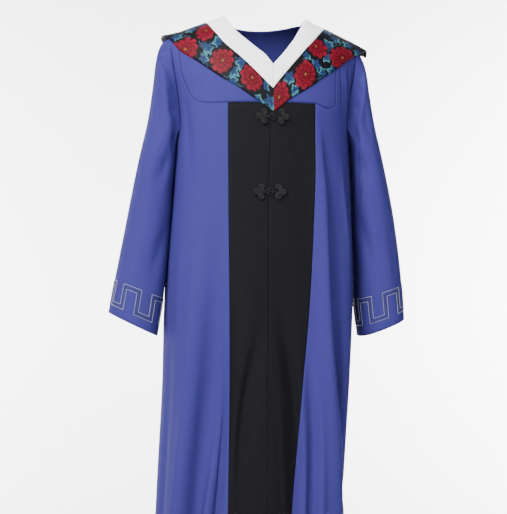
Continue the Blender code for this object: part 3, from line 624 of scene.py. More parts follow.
def seam_line(side, stations):
    """Across and drop of the seam round the yoke at stations from the ridge to the panel."""
    table = np.array(YOKE_SEAM[side]).T
    knots = np.arange(table.shape[1])
    return np.stack([side * flow(stations, knots, table[0]), flow(stations, knots, table[1])], -1)


def moved(path, sideways):
    """A path seen from the front, moved square to itself by half a seam."""
    along = np.gradient(path, axis=0)
    square = np.stack([along[:, 1], -along[:, 0]], -1)
    return path + sideways * square / np.linalg.norm(square, axis=-1, keepdims=True)


def framed(top, bottom, first, second):
    """Grid inside four edges: the two ruled grids added, less the one through the corners."""
    down = np.linspace(0, 1, len(first))[:, None, None]
    across = np.linspace(0, 1, len(top))[None, :, None]
    sides = first[:, None] * (1 - across) + second[:, None] * across
    ends = top[None] * (1 - down) + bottom[None] * down
    corners = ((top[0] * (1 - across) + top[-1] * across) * (1 - down)
               + (bottom[0] * (1 - across) + bottom[-1] * across) * down)
    return sides + ends - corners


def build_yoke(side):
    """The yoke's grid inside its four edges: ridge, neckline, curved seam and bottom."""
    outer = seam_line(side, np.linspace(0, CORNER, CORNER * YOKE_STEPS + 1))
    outer = moved(outer, -side * 0.5 * SEAM)
    low = seam_line(side, np.linspace(len(YOKE_SEAM[side]) - 1, CORNER, 2 * YOKE_STEPS + 1))
    low[:, 1] -= 0.5 * SEAM
    low[-1] = outer[-1]
    meeting = np.array([MITRE + side * 0.5 * SEAM, YOKE_DROP - 0.5 * SEAM])
    shares = np.linspace(0, 1, PANEL_STEPS * YOKE_STEPS + 1)[:-1, None]
    bottom = place(*np.concatenate([meeting * (1 - shares) + low[0] * shares, low]).T)
    neck = np.array(YOKE_NECKLINE[side])
    neck[:-1, 0] *= side
    neck = np.concatenate([neck[:-1], [meeting]])
    stations = np.arange(len(neck))
    finer = np.linspace(0, stations[-1], len(outer))
    inner = place(flow(finer, stations, neck[:, 0]), flow(finer, stations, neck[:, 1]))
    outer = place(*outer.T)
    inner[0, 1] = outer[0, 1] = QUARTER - RIDGE_SEAM
    top = inner[0] + (outer[0] - inner[0]) * np.linspace(0, 1, len(bottom))[:, None]
    points, out = surface_of(framed(top, bottom, inner, outer))
    points = tucked(points, out, ("last", "bottom", "top"))
    return sewn("yoke_" + SIDE_NAMES[side], "_cloth", points, out, blue_cloth)


for side in (RIGHT, LEFT):
    build_yoke(side)

# Side fronts
# Blue, one each side: a narrow strip that starts on the shoulder and passes between yoke and
# armhole, then the whole width from the black panel to the side seam, down to the hem.
PANEL = {
    "drop": (0.172, 0.350, 0.537, 0.720, 0.925, 1.160),
    "right": (-0.0785, -0.0785, -0.0795, -0.0802, -0.0811, -0.0830),
    "opening": (MITRE, -0.0050, -0.0056, -0.0084, -0.0096, -0.0110),
    "left": (0.0855, 0.0810, 0.0715, 0.0560, 0.0385, 0.0230),
}
FRONT_ROWS = (56, 114)          # rows beside the yoke and beside the side seam
SCOOP_ROWS = 10                 # rows between them, that end in the armhole's scoop
FRONT_COLUMNS = 108


def panel_edge(column, drops):
    """Across of one edge of the black panels at the drops given."""
    return flow(drops, PANEL["drop"], PANEL[column])


def build_front(side):
    """The front's grid: straight lines in heading and level from the yoke's seam and the black
    panel's edge to the armhole and the side seam."""
    stations = len(YOKE_SEAM[side]) - 1
    seam = seam_line(side, np.linspace(0, stations, FRONT_ROWS[0]))
    drops = np.linspace(YOKE_DROP, LENGTH, SCOOP_ROWS + FRONT_ROWS[1] + 1)[1:]
    edge = np.stack([panel_edge(SIDE_NAMES[side], drops), drops], -1)
    inner = place(*moved(np.concatenate([seam, edge]), side * 0.5 * SEAM).T)
    outer = outer_edge(side, False, *FRONT_ROWS, scoop_rows=SCOOP_ROWS)
    inner[0, 1] = outer[0, 1] = QUARTER - RIDGE_SEAM
    inner[-1, 1] = CHEST - LENGTH
    shares = crowded(FRONT_COLUMNS)[None, :, None]
    points, out = surface_of(inner[:, None] * (1 - shares) + outer[:, None] * shares)
    points = tucked(points, out, ("first", "last", "top"), hem=True)
    return sewn("front_" + SIDE_NAMES[side], "_cloth", points, out, blue_cloth)


for side in (RIGHT, LEFT):
    build_front(side)

# Black centre fronts
# Two panels of black cloth, sewn to the yokes and the side fronts. They meet edge to edge at
# the opening, held by the frogs, and part a little in soft folds towards the hem.
PANEL_ROWS = 140
PANEL_COLUMNS = 56
black_cloth = cloth_material("black panel cloth", linear(9, 9, 12), linear(14, 14, 18),
                             0.74, 0.0, 0.3, shine=0.08)


def build_panel(side):
    """The panel's grid: straight across from the opening to the outer edge at every drop."""
    drops = np.concatenate([[YOKE_DROP + 0.5 * SEAM],
                            np.linspace(YOKE_DROP, LENGTH, PANEL_ROWS)[1:]])[:, None]
    outer = panel_edge(SIDE_NAMES[side], drops) - side * 0.5 * SEAM
    opening = panel_edge("opening", drops) + side * 0.5 * SEAM
    across = opening + crowded(PANEL_COLUMNS)[None] * (outer - opening)
    grid = place(across, drops + np.zeros_like(across))
    points, out = surface_of(grid)
    points = tucked(points, out, ("first", "last", "top"), hem=True)
    return sewn("panel_" + SIDE_NAMES[side], "_cloth", points, out, black_cloth)


for side in (RIGHT, LEFT):
    build_panel(side)

# Sleeves
# Wide set-in sleeves of the blue cloth, each a tube with one underarm seam, sewn into its
# armhole. They widen to open cuffs with a turned hem and crease where the arm bends.

# Rings of a sleeve, shoulder to cuff: across and drop of the overarm line and of the underarm
# line, depth from front to back, and how far back the ring's middle lies
SLEEVE_COLUMNS = ("outer", "outer_drop", "inner", "inner_drop", "depth", "middle")
SLEEVE = {
    RIGHT: (
        (0.178, 0.034, 0.1663, 0.232, 0.118, 0.000), (0.197, 0.050, 0.1688, 0.246, 0.128, 0.002),
        (0.2065, 0.078, 0.1702, 0.264, 0.134, 0.004), (0.2135, 0.134, 0.1732, 0.292, 0.138, 0.006),
        (0.2230, 0.197, 0.1775, 0.328, 0.140, 0.007), (0.2395, 0.270, 0.1805, 0.372, 0.140, 0.007),
        (0.2550, 0.348, 0.1845, 0.422, 0.138, 0.005), (0.2700, 0.425, 0.1895, 0.478, 0.133, 0.000),
        (0.2855, 0.502, 0.1965, 0.542, 0.126, -0.007), (0.2970, 0.563, 0.2065, 0.607, 0.120, -0.014),
    ),
    LEFT: (
        (0.178, 0.042, 0.1643, 0.232, 0.118, 0.000), (0.1930, 0.064, 0.1690, 0.246, 0.122, 0.002),
        (0.2025, 0.090, 0.1705, 0.264, 0.134, 0.004), (0.2105, 0.142, 0.1720, 0.292, 0.138, 0.006),
        (0.2205, 0.198, 0.1735, 0.328, 0.140, 0.007), (0.2365, 0.268, 0.1750, 0.372, 0.142, 0.007),
        (0.2545, 0.357, 0.1768, 0.422, 0.142, 0.005), (0.2660, 0.437, 0.1790, 0.478, 0.138, 0.000),
        (0.2730, 0.512, 0.1815, 0.544, 0.132, -0.007), (0.2760, 0.577, 0.1885, 0.612, 0.126, -0.014),
    ),
}
SLEEVE_RADIUS = 0.06            # turns an angle round a sleeve into a distance
SLEEVE_SQUARENESS = 2.35        # 2 is an oval; more fills out its corners
SLEEVE_RINGS = 116
RING_POWER = 1.15               # over 1, the rings stand closer at the shoulder
SETTLED = 0.22                  # share of the sleeve that is drawn into the armhole
# Folds and creases: turn round the sleeve in degrees (0 overarm, 90 in front) and station from
# 0 at the shoulder to 1 at the cuff, at each end, then spread and how far they stand out
SLEEVE_FOLD_COLUMNS = ("turn", "station", "to_turn", "to_station", "spread", "out")
SLEEVE_FOLDS = {
    RIGHT: ((100, 0.16, 60, 0.52, 0.014, -0.004), (130, 0.30, 80, 0.62, 0.014, -0.005),
            (250, 0.20, 300, 0.60, 0.016, -0.005), (150, 0.55, 100, 0.90, 0.016, -0.004),
            (62, 0.02, 30, 0.24, 0.006, -0.0035), (84, 0.02, 70, 0.20, 0.007, 0.0020),
            (146, 0.06, 118, 0.34, 0.007, -0.0040), (112, 0.05, 92, 0.26, 0.006, -0.0028),
            (232, 0.10, 262, 0.42, 0.009, -0.0034), (300, 0.04, 322, 0.26, 0.008, -0.0026),
            (204, 0.40, 236, 0.72, 0.009, -0.0028), (70, 0.62, 48, 0.98, 0.012, -0.0022),
            (34, -0.05, 14, 0.30, 0.005, -0.0050), (160, -0.40, 142, 1.60, 0.030, 0.0080)),
    LEFT: ((95, 0.14, 65, 0.50, 0.014, -0.005), (135, 0.28, 85, 0.58, 0.014, -0.006),
           (250, 0.20, 300, 0.60, 0.016, -0.005), (150, 0.52, 95, 0.88, 0.016, -0.005),
           (96, 0.03, 92, 0.22, 0.007, -0.0040), (64, 0.04, 84, 0.22, 0.007, -0.0040),
           (128, 0.10, 116, 0.34, 0.007, -0.0040), (112, 0.30, 142, 0.46, 0.005, -0.0036),
           (108, 0.37, 146, 0.53, 0.005, -0.0040), (112, 0.45, 144, 0.58, 0.005, -0.0030),
           (230, 0.10, 264, 0.44, 0.009, -0.0034),
           (296, 0.05, 320, 0.30, 0.008, -0.0028), (72, 0.60, 52, 0.97, 0.012, -0.0020)),
}


def sleeve_outer(side, turn, station):
    """Point of a sleeve: ovals between the overarm and underarm lines, bent in by the folds."""
    table = dict(zip(SLEEVE_COLUMNS, np.array(SLEEVE[side]).T))
    knots = np.linspace(0, 1, len(SLEEVE[side]))
    read = {name: flow(station, knots, values) for name, values in table.items()}
    over = np.stack([side * read["outer"], read["middle"], -read["outer_drop"]], -1)
    under = np.stack([side * read["inner"], read["middle"], -read["inner_drop"]], -1)
    centre = 0.5 * (over + under)
    ahead = np.zeros_like(centre)
    ahead[..., 1] = -0.5 * read["depth"]
    swell = np.ones(np.broadcast(turn, station).shape)
    for row in SLEEVE_FOLDS[side]:
        fold = dict(zip(SLEEVE_FOLD_COLUMNS, row))
        share = (station - fold["station"]) / (fold["to_station"] - fold["station"])
        path = np.radians(fold["turn"] + (fold["to_turn"] - fold["turn"]) * share)
        away = nearest_turn(turn - path) * SLEEVE_RADIUS
        ends = np.sin(np.pi * np.clip(share, 0, 1)) ** 2
        swell = swell + fold["out"] / SLEEVE_RADIUS * ends * bell(away, fold["spread"])
    power = 2 / SLEEVE_SQUARENESS
    cosine = (np.sign(np.cos(turn)) * np.abs(np.cos(turn)) ** power * swell)[..., None]
    sine = (np.sign(np.sin(turn)) * np.abs(np.sin(turn)) ** power * swell)[..., None]
    return centre + (over - centre) * cosine + ahead * sine


def sleeve_surface(side, turn, station):
    """Point of the sewn sleeve: the free sleeve, drawn near the shoulder into the armhole."""
    front = armhole(side, False)
    back = armhole(side, True)
    loop = np.concatenate([front, back[-2:0:-1], front[:1]])
    edge = body(loop[:, 0], loop[:, 1])
    edge[:, 0] += side * SEAM
    turns = np.linspace(0, 2 * np.pi, len(loop))
    start = read_rows(np.mod(turn, 2 * np.pi), turns, edge)
    free = sleeve_outer(side, turn, station)
    held = ease(1 - station / SETTLED)[..., None]
    return free + held * (start - sleeve_outer(side, turn, np.zeros_like(station)))


def grid_outward(points, tube=False):
    """Direction square to a grid of points, from its own slopes both ways."""
    if tube:
        around = np.roll(points, -1, axis=1) - np.roll(points, 1, axis=1)
    else:
        around = np.gradient(points, axis=1)
    return unit(np.cross(around, np.gradient(points, axis=0)))


def build_sleeve(side):
    """The sleeve's grid: rings round it, from the armhole's own points to the cuff."""
    count = 2 * (len(armhole(side, False)) - 1)
    turn = np.linspace(0, 2 * np.pi, count, endpoint=False)[None]
    station = np.linspace(0, 1, SLEEVE_RINGS)[:, None] ** RING_POWER
    points = sleeve_surface(side, turn + 0 * station, station + 0 * turn)
    out = grid_outward(points, tube=True) * side
    points = points + out * wander(points)[..., None]
    distance = metric_map(points)[..., 1]
    relief = hem_fold(distance[-1:] - distance) - dip(distance, TUCK)
    points = points + out * relief[..., None]
    return sewn("sleeve_" + SIDE_NAMES[side], "_cloth", points, out, blue_cloth, tube=True)


for side in (RIGHT, LEFT):
    build_sleeve(side)

# Cuff embroidery
# A square meander runs round each cuff: a strip of grey fill stitch between two lines of pale
# metallic thread, worked by machine through the sleeve before it is sewn up.
WAVES = 6                       # waves of the meander round one cuff
STRIP = 0.0085                  # width of the strip
STRIP_LIFT = 0.0004             # how far the strip stands off the sleeve, and how thick it is
STRIP_CLOTH = 0.0003
WAVE_HEIGHT = 0.0425            # between the middles of the strip's upper and lower runs
ABOVE_CUFF = 0.0245             # cuff's edge to the middle of the lower runs
THREAD = 0.00048                # radius of the thread where it is thickest
THREAD_LIFT = 0.0002            # how far its middle lies over the strip
THREAD_SIDES = 6
STITCH = 0.0026                 # length of one stitch
RUN_POINTS = 20                 # points to each straight run of the strip
SLEEVE_LOOK = (720, 60)         # grid that turns distances on the cuff into places
LOOK_START = 0.78               # station where that grid ends up the sleeve
GIRTH_ROW = 15                  # row of it, at the meander's height, that the girth is taken on
strip_cloth = cloth_material("grey fill stitch", linear(38, 37, 84), linear(50, 50, 98),
                             0.70, 0.0, 0.9, threads=900.0, tones=40.0, shine=0.04)


def cuff_place(side, around, above):
    """Place on the cuff at a share of the way round and a distance above its edge, and the
    outward direction there, read from a grid of the sleeve's end."""
    turns = np.linspace(0, 2 * np.pi, SLEEVE_LOOK[0] + 1)
    stations = np.linspace(1, LOOK_START, SLEEVE_LOOK[1])
    grid = sleeve_surface(side, turns[None] + 0 * stations[:, None],
                          stations[:, None] + 0 * turns[None])
    out = grid_outward(grid) * -side
    rise = np.linalg.norm(np.diff(grid, axis=0), axis=-1).mean(0)
    girth = metric_map(grid)[GIRTH_ROW, :, 0]
    column = np.interp(np.mod(around, 1), girth / girth[-1], np.arange(len(girth)))
    low = np.clip(column.astype(int), 0, len(girth) - 2)
    share = column - low
    row = above / (rise[low] * (1 - share) + rise[low + 1] * share)
    under = np.clip(row.astype(int), 0, SLEEVE_LOOK[1] - 2)
    part = (row - under)[..., None]
    share = share[..., None]

    def read(field):
        """Value between the four grid points around a place, by its shares across and along."""
        lower = field[under, low] * (1 - share) + field[under, low + 1] * share
        upper = field[under + 1, low] * (1 - share) + field[under + 1, low + 1] * share
        return lower * (1 - part) + upper * part

    point = read(grid)
    outward = unit(read(out))
    lift = wander(point) + hem_fold(above)
    return point + outward * lift[..., None], outward, girth[-1]


def meander(period, sideways):
    """Square wave as distance round and height, moved sideways with mitred corners."""
    half = 0.5 * period
    corners = []
    for wave in range(WAVES):
        base = wave * period
        corners += [(base, 0), (base, 1), (base + half, 1), (base + half, 0)]
    corners.append((WAVES * period, 0))
    path = np.array(corners) * (1, WAVE_HEIGHT) + (0, ABOVE_CUFF)
    step = np.diff(path, axis=0)
    normal = unit(np.stack([-step[:, 1], step[:, 0]], -1))
    bend = np.concatenate([[normal[0] + normal[-1]], normal[:-1] + normal[1:],
                           [normal[0] + normal[-1]]])
    return resampled(path + sideways * bend, (len(path) - 1) * RUN_POINTS + 1)


def run_length(path):
    """Distance along a path at each of its points."""
    return np.concatenate([[0], np.cumsum(np.linalg.norm(np.diff(path, axis=0), axis=-1))])


def ringed(path, out, beside, turns, radius):
    """Tube along a path: at each of its points a ring of points, by the cosine of each turn
    outwards and its sine sideways, and the rings' own directions."""
    ring = np.cos(turns)[..., None] * out[:, None] + np.sin(turns)[..., None] * beside[:, None]
    return path[:, None] + radius[..., None] * ring, ring


def thread_material(name, dark, light, metal):
    """Thread: a twist in fine diagonal lines along its own map, in its relief and in its colour,
    which is painted shade in the twist's grooves and a painted highlight on its ridges.
    """
    material, tree, shader = new_material(name)
    mapped = add_node(tree, "ShaderNodeUVMap", uv_map="cloth").outputs[0]
    twist = add_node(tree, "ShaderNodeTexWave", {"Vector": mapped, "Scale": 420.0,
                                                 "Distortion": 0.6}, bands_direction="DIAGONAL")
    # Painted shade and highlight: the colour follows the twist's relief, dark in its grooves and
    # light on its ridges.
    colour = between(tree, twist.outputs[1], dark, light)
    bump = add_node(tree, "ShaderNodeBump", {"Height": twist.outputs[1], "Distance": 0.0002,
                                             "Strength": 0.6})
    tree.links.new(colour, shader.inputs["Base Color"])
    tree.links.new(bump.outputs[0], shader.inputs["Normal"])
    shader.inputs["Metallic"].default_value = metal
    shader.inputs["Roughness"].default_value = 0.42
    shader.inputs["Specular IOR Level"].default_value = 0.22
    return material


# The darker tone is painted shade in the twist's grooves; the paler tone is a painted highlight on
# its ridges.
pale_thread = thread_material("pale metallic thread", linear(104, 108, 122), linear(166, 167, 170),
                              0.2)


def build_meander(side):
    """The strip is a ribbon between the two offset lines, and each line a row of stitches whose
    thickness swells and dips along it."""
    girth = cuff_place(side, np.zeros(1), np.zeros(1))[2]
    period = girth / WAVES
    lines = [meander(period, offset) for offset in np.linspace(-0.5, 0.5, 5) * STRIP]
    flat = np.stack(lines, axis=1)
    points, out, _ = cuff_place(side, flat[..., 0] / girth, flat[..., 1])
    points = points + out * STRIP_LIFT
    name = "meander_" + SIDE_NAMES[side]
    dress(name + "_strip", cloth_mesh(name + "_strip", points, out), strip_cloth, [],
          STRIP_CLOTH)
    turns = np.linspace(0, 2 * np.pi, THREAD_SIDES, endpoint=False)[None]
    for number, line in enumerate((0, -1)):
        path = points[:, line] + out[:, line] * THREAD_LIFT
        length = run_length(path)
        finer = np.arange(0, length[-1], STITCH / 4)
        path = read_rows(finer, length, path)
        outward = read_rows(finer, length, out[:, line])
        swell = THREAD * (0.65 + 0.35 * np.abs(np.sin(np.pi * finer / STITCH)))
        beside = np.cross(unit(np.gradient(path, axis=0)), outward)
        tube, ring = ringed(path, outward, beside, turns, swell[:, None])
        mesh = cloth_mesh(name + f"_thread_{number}", tube, ring, tube=True)
        dress(name + f"_thread_{number}", mesh, pale_thread, [])


for side in (RIGHT, LEFT):
    build_meander(side)

# Neckband
# A white satin band lies in the neckline, folded double, mitred at the front and joined at the
# centre back. Its inner edge is the gown's open neckline.
LAY = 0.0009                    # height over the yokes at which band and collar lie
COLLAR_CLOTH = 0.0022           # thickness of the folded band and of the lined collar
# How far out the collar's tips rise off the shoulders, and there how far they rise, and behind
# the ridge how far they hang down again, for each metre squared past that place
TIP_START = 0.150
TIP_LIFT = {RIGHT: 3.2, LEFT: 1.0}
DROOP_START = 0.170
TIP_DROOP = {RIGHT: 0.0, LEFT: 9.0}
DROOP_CLIMB = (70, 25)          # climb where the tips start to hang, and degrees till they do
# Band and collar from the mitre up to the shoulder, as seen from the front: across and drop of
# the band's inner edge, of the edge they share and of the collar's outer edge
COLLAR_FRONT = {
    RIGHT: (
        (-0.0070, 0.0985, -0.0046, 0.1455, -0.0057, 0.1905),
        (0.0065, 0.0800, 0.0153, 0.1250, 0.0256, 0.1686),
        (0.0215, 0.0670, 0.0368, 0.1020, 0.0565, 0.1462),
        (0.0340, 0.0555, 0.0546, 0.0843, 0.0817, 0.1308),
        (0.0480, 0.0420, 0.0758, 0.0640, 0.1048, 0.1138),
        (0.0580, 0.0310, 0.0894, 0.0470, 0.1278, 0.0960),
        (0.0680, 0.0175, 0.1024, 0.0260, 0.1632, 0.0690),
        (0.0730, 0.0010, 0.1085, 0.0131, 0.1810, 0.0440),
    ),
    LEFT: (
        (0.0070, 0.0985, 0.0046, 0.1455, 0.0057, 0.1905),
        (0.0205, 0.0840, 0.0225, 0.1235, 0.0399, 0.1637),
        (0.0330, 0.0695, 0.0433, 0.0990, 0.0750, 0.1416),
        (0.0410, 0.0590, 0.0587, 0.0816, 0.0955, 0.1269),
        (0.0500, 0.0470, 0.0780, 0.0600, 0.1168, 0.1125),
        (0.0575, 0.0350, 0.0900, 0.0470, 0.1392, 0.0971),
        (0.0670, 0.0195, 0.1030, 0.0330, 0.1720, 0.0730),
        (0.0760, 0.0045, 0.1140, 0.0209, 0.1950, 0.0610),
    ),
}
# The same three edges from the ridge to the centre back: across, and climb in degrees
COLLAR_BACK = {
    RIGHT: (
        (0.0756, 90, 0.1116, 90, 0.1935, 90), (0.0745, 102, 0.1070, 104, 0.1880, 110),
        (0.0680, 109, 0.0930, 114, 0.1620, 129), (0.0500, 114, 0.0700, 121, 0.1180, 143),
        (0.0260, 117, 0.0360, 125, 0.0620, 151), (0.0002, 118, 0.0002, 126, 0.0002, 153),
    ),
    LEFT: (
        (0.0815, 90, 0.1230, 90, 0.2110, 90), (0.0800, 102, 0.1150, 104, 0.2000, 110),
        (0.0720, 109, 0.0980, 114, 0.1700, 129), (0.0520, 114, 0.0730, 121, 0.1220, 143),
        (0.0270, 117, 0.0380, 125, 0.0640, 151), (0.0002, 118, 0.0002, 126, 0.0002, 153),
    ),
}
BAND_ROWS = 150
BAND_COLUMNS = 22
BAND_ROLL = (0.0022, 0.0022)    # depth and reach of the rounding at the band's folded edge
BAND_TUCK = (0.0008, 0.0016)    # depth and reach of the dip into the seam with the collar
BAND_SLACK = 0.0009             # how far the satin bags between its edges
SLACK_WAVES = (70, 27)          # waves of the slack along the band, in units of angle a metre
white_satin = cloth_material("white satin", linear(232, 232, 243), linear(247, 247, 252),
                             0.34, 0.05, 0.15, threads=3800.0, tones=12.0)


def laid_edges(side, rows):
    """The three edges of band and collar as across and climb, mitre first."""
    front = np.array(COLLAR_FRONT[side])
    back = np.array(COLLAR_BACK[side])
    edges = []
    for column in (0, 2, 4):
        across = front[:, column].copy()
        across[0] += 0.5 * SEAM
        climb = climb_at(side * across, front[:, column + 1])
        across = np.concatenate([across, back[:, column]])
        climb = np.concatenate([climb, np.radians(back[:, column + 1])])
        knots = np.arange(len(across))
        finer = np.linspace(0, knots[-1], rows)
        edges.append((flow(finer, knots, across) * side, flow(finer, knots, climb)))
    return edges


def laid_surface(side, first, second, shares):
    """Surface that lies on the shoulders between two edges, its tips rising off them, with its
    outward direction and the place of the body under it."""
    across = first[0][:, None] * (1 - shares) + second[0][:, None] * shares
    climb = first[1][:, None] * (1 - shares) + second[1][:, None] * shares
    grid = over_shoulder(across, climb)
    points = body(grid[..., 0], grid[..., 1])
    out = body_outward(grid[..., 0], grid[..., 1])
    lift = LAY + TIP_LIFT[side] * np.maximum(np.abs(across) - TIP_START, 0) ** 2
    droop = TIP_DROOP[side] * np.maximum(np.abs(across) - DROOP_START, 0) ** 2
    lift = lift - droop * ease((climb - np.radians(DROOP_CLIMB[0]))
                              / np.radians(DROOP_CLIMB[1]))
    return points + out * lift[..., None], out


def build_neckband(side):
    """The band's grid between its inner edge and the edge that it shares with the collar, its
    folded edge rounded over and its satin a little slack."""
    inner, shared, _ = laid_edges(side, BAND_ROWS)
    shares = crowded(BAND_COLUMNS)
    points, out = laid_surface(side, inner, shared, shares)
    distance, along = np.moveaxis(metric_map(points), -1, 0)
    roll = dip(distance, BAND_ROLL)
    tuck = dip(distance[:, -1:] - distance, BAND_TUCK)
    slack = (BAND_SLACK * np.sin(np.pi * shares) * np.sin(along * SLACK_WAVES[0] + side)
             * np.sin(along * SLACK_WAVES[1]))
    points = points + out * (COLLAR_CLOTH - roll - tuck + slack)[..., None]
    return sewn("neckband_" + SIDE_NAMES[side], "_satin", points, out, white_satin)


for side in (RIGHT, LEFT):
    build_neckband(side)

# Collar
# The shawl collar is black satin printed with red chrysanthemums, blue-green leaves and pale
# tendrils, lined with black, mitred at the front. It lies over the shoulders and round the back.
COLLAR_ROWS = 540
COLLAR_COLUMNS = 124
COLLAR_ROLL = (0.0018, 0.0016)  # depth and reach of the rounding at the collar's outer edge
COLLAR_TUCK = (0.0008, 0.0014)  # depth and reach of the dip into the seam with the band
COLLAR_WANDER = 0.3             # share of the cloth's unevenness that the collar shows
LINING_ROWS = 90
LINING_COLUMNS = 18
LINING_LIFT = 0.0002            # how far the lining lies off the surface, and how thick it is
LINING_CLOTH = 0.0003
FLOWER = 0.0250                 # radius of a flower
# Rings of petals, outermost first: radius, number of petals and turn in degrees
PETAL_RINGS = ((1.00, 10, 0), (0.87, 12, 9), (0.73, 13, 3), (0.58, 11, 14), (0.43, 9, 5),
               (0.29, 7, 20), (0.17, 5, 8))
PETAL_NOTCH = (0.06, 0.16)      # depth and reach of the notch in a petal's tip, as shares of it
VEIN_WIDTH = 0.00035            # half the width of a leaf's vein at its stalk
LEAF = 0.0165                   # length of a leaf from its stalk to its tip
# Vines: where each wave starts and its mean distance from the band; then how far they sway and
# the length of one unit of angle, for the wave and for the ripple on it
VINES = ((0.0, 0.026), (2.2, 0.052))
VINE_WAVE = (0.013, 0.0205)
VINE_RIPPLE = (0.004, 0.009)
VINE_WIDTH = 0.00050            # half the width of a vine's line, and below it of a curl's
CURL_WIDTH = 0.00045
CURLS = 16
CURL_START = 0.012              # distance from the mitre to the first curl, and between curls
CURL_PITCH = 0.0316
CURL_SHIFT = 0.011              # how far a curl strays from its place along the vine
CURL_ASIDE = 0.0062             # distance from the vine to a curl's middle, on either side in turn
CURL_RADIUS = (0.0060, 0.0011)  # radius where a curl starts, and what it loses to each two units
PRINT_STEP = 0.0005             # width of the soft step at the edge of a line or a petal
# Print: distance along the collar from the mitre and out from the band, and a turn in degrees
FLOWERS = {
    RIGHT: ((0.052, 0.017, 20), (0.119, 0.030, 70), (0.188, 0.066, 10), (0.196, 0.012, 40),
            (0.262, 0.040, 0), (0.330, 0.022, 50), (0.392, 0.048, 15), (0.455, 0.020, 30)),
    LEFT: ((0.012, 0.026, 0), (0.077, 0.031, 40), (0.137, 0.010, 65), (0.164, 0.062, 25),
           (0.240, 0.034, 10), (0.305, 0.058, 50), (0.372, 0.024, 35), (0.440, 0.046, 5)),
}
LEAVES = {
    RIGHT: ((0.006, 0.030, 100), (0.020, 0.008, 150), (0.083, 0.010, 30), (0.084, 0.046, 215),
            (0.090, 0.031, 100), (0.030, 0.043, 190), (0.150, 0.010, 340), (0.153, 0.052, 200),
            (0.157, 0.031, 80), (0.222, 0.064, 140), (0.226, 0.034, 20), (0.234, 0.010, 330),
            (0.172, 0.088, 120), (0.214, 0.088, 60), (0.292, 0.060, 200), (0.296, 0.030, 120),
            (0.300, 0.008, 20), (0.362, 0.024, 80), (0.356, 0.050, 160), (0.424, 0.030, 30),
            (0.426, 0.055, 200), (0.262, 0.078, 90), (0.330, 0.060, 270), (0.392, 0.014, 60)),
    LEFT: ((0.044, 0.012, 60), (0.044, 0.036, 200), (0.036, 0.050, 250), (0.106, 0.010, 20),
           (0.108, 0.034, 130), (0.112, 0.054, 210), (0.167, 0.026, 300), (0.138, 0.038, 90),
           (0.131, 0.066, 160), (0.196, 0.030, 30), (0.204, 0.056, 200), (0.200, 0.082, 120),
           (0.206, 0.008, 330), (0.270, 0.050, 80), (0.274, 0.016, 20), (0.240, 0.064, 180),
           (0.338, 0.040, 140), (0.336, 0.010, 40), (0.342, 0.062, 220), (0.404, 0.034, 60),
           (0.406, 0.060, 200), (0.410, 0.010, 330), (0.236, 0.086, 60), (0.305, 0.028, 90)),
}
PRINT_COLOURS = {
    "ground": linear(8, 8, 12)[:3], "petal": linear(70, 1, 14)[:3],
    "petal_light": linear(104, 14, 32)[:3], "petal_dark": linear(20, 0, 5)[:3],
    "heart": linear(96, 66, 26)[:3], "leaf": linear(24, 44, 78)[:3],
    "leaf_light": linear(54, 108, 112)[:3], "vein": linear(5, 14, 32)[:3],
    "tendril": linear(44, 66, 88)[:3],
}


def blend(colours, colour, mask):
    """Lays one colour over the others where the mask is 1."""
    return colours + mask[:, None] * (np.asarray(colour) - colours)


def soft_edge(inside, width):
    """1 where a distance is well inside an edge, 0 outside it, with a soft step between."""
    return ease(0.5 + inside / width)


def draw_tendrils(colours, along, out):
    """Two thin vines that wave along the collar in opposite phase, and curls that spring from
    them: rings round points beside the vines, open on one side."""
    sway, wave = VINE_WAVE
    for phase, middle in VINES:
        vine = middle + sway * np.sin(along / wave + phase)
        vine = vine + VINE_RIPPLE[0] * np.sin(along / VINE_RIPPLE[1])
        slope = sway / wave * np.cos(along / wave + phase)
        away = np.abs(out - vine) / np.sqrt(1 + slope * slope)
        colours = blend(colours, PRINT_COLOURS["tendril"], soft_edge(VINE_WIDTH - away, PRINT_STEP))
        for number in range(CURLS):
            facing = (-1) ** number
            centre = CURL_START + CURL_PITCH * number + CURL_SHIFT * np.sin(5 * number + phase)
            height = middle + sway * np.sin(centre / wave + phase) + CURL_ASIDE * facing
            radius = np.hypot(along - centre, out - height)
            turn = np.arctan2(out - height, along - centre) * facing
            curl = CURL_RADIUS[0] - CURL_RADIUS[1] * (turn + np.pi) / 2
            line = soft_edge(CURL_WIDTH - np.abs(radius - curl), PRINT_STEP)
            colours = blend(colours, PRINT_COLOURS["tendril"], line)
    return colours


def draw_leaf(colours, along, out, at, turn, length):
    """A leaf of five lobes with toothed edges, paler towards its tips, with dark veins: its edge
    is a radius that follows the angle from the stalk."""
    radius = np.hypot(along - at[0], out - at[1])
    angle = nearest_turn(np.arctan2(out - at[1], along - at[0]) - turn)
    point = 1 - 2 * np.abs((2.5 * angle / np.pi + 0.5) % 1 - 0.5)
    tooth = 1 - 2 * np.abs((12.5 * angle / np.pi + 0.5) % 1 - 0.5)
    edge = length * (0.42 + 0.42 * point ** 1.3 + 0.12 * tooth + 0.10 * np.cos(angle))
    mask = soft_edge(edge - radius, 0.0006)
    tip = ease((radius / edge - 0.45) / 0.5) * ease(0.35 + 0.8 * np.cos(angle - 1.1))
    shade = (np.asarray(PRINT_COLOURS["leaf"]) * (1 - tip[:, None])
             + np.asarray(PRINT_COLOURS["leaf_light"]) * tip[:, None])
    colours = blend(colours, shade, mask)
    rib = np.abs((2.5 * angle / np.pi + 0.5) % 1 - 0.5) * radius * np.pi / 2.5
    vein = soft_edge(VEIN_WIDTH - rib, PRINT_STEP) * ease((0.80 - radius / edge) / 0.1)
    return blend(colours, PRINT_COLOURS["vein"], vein * mask)


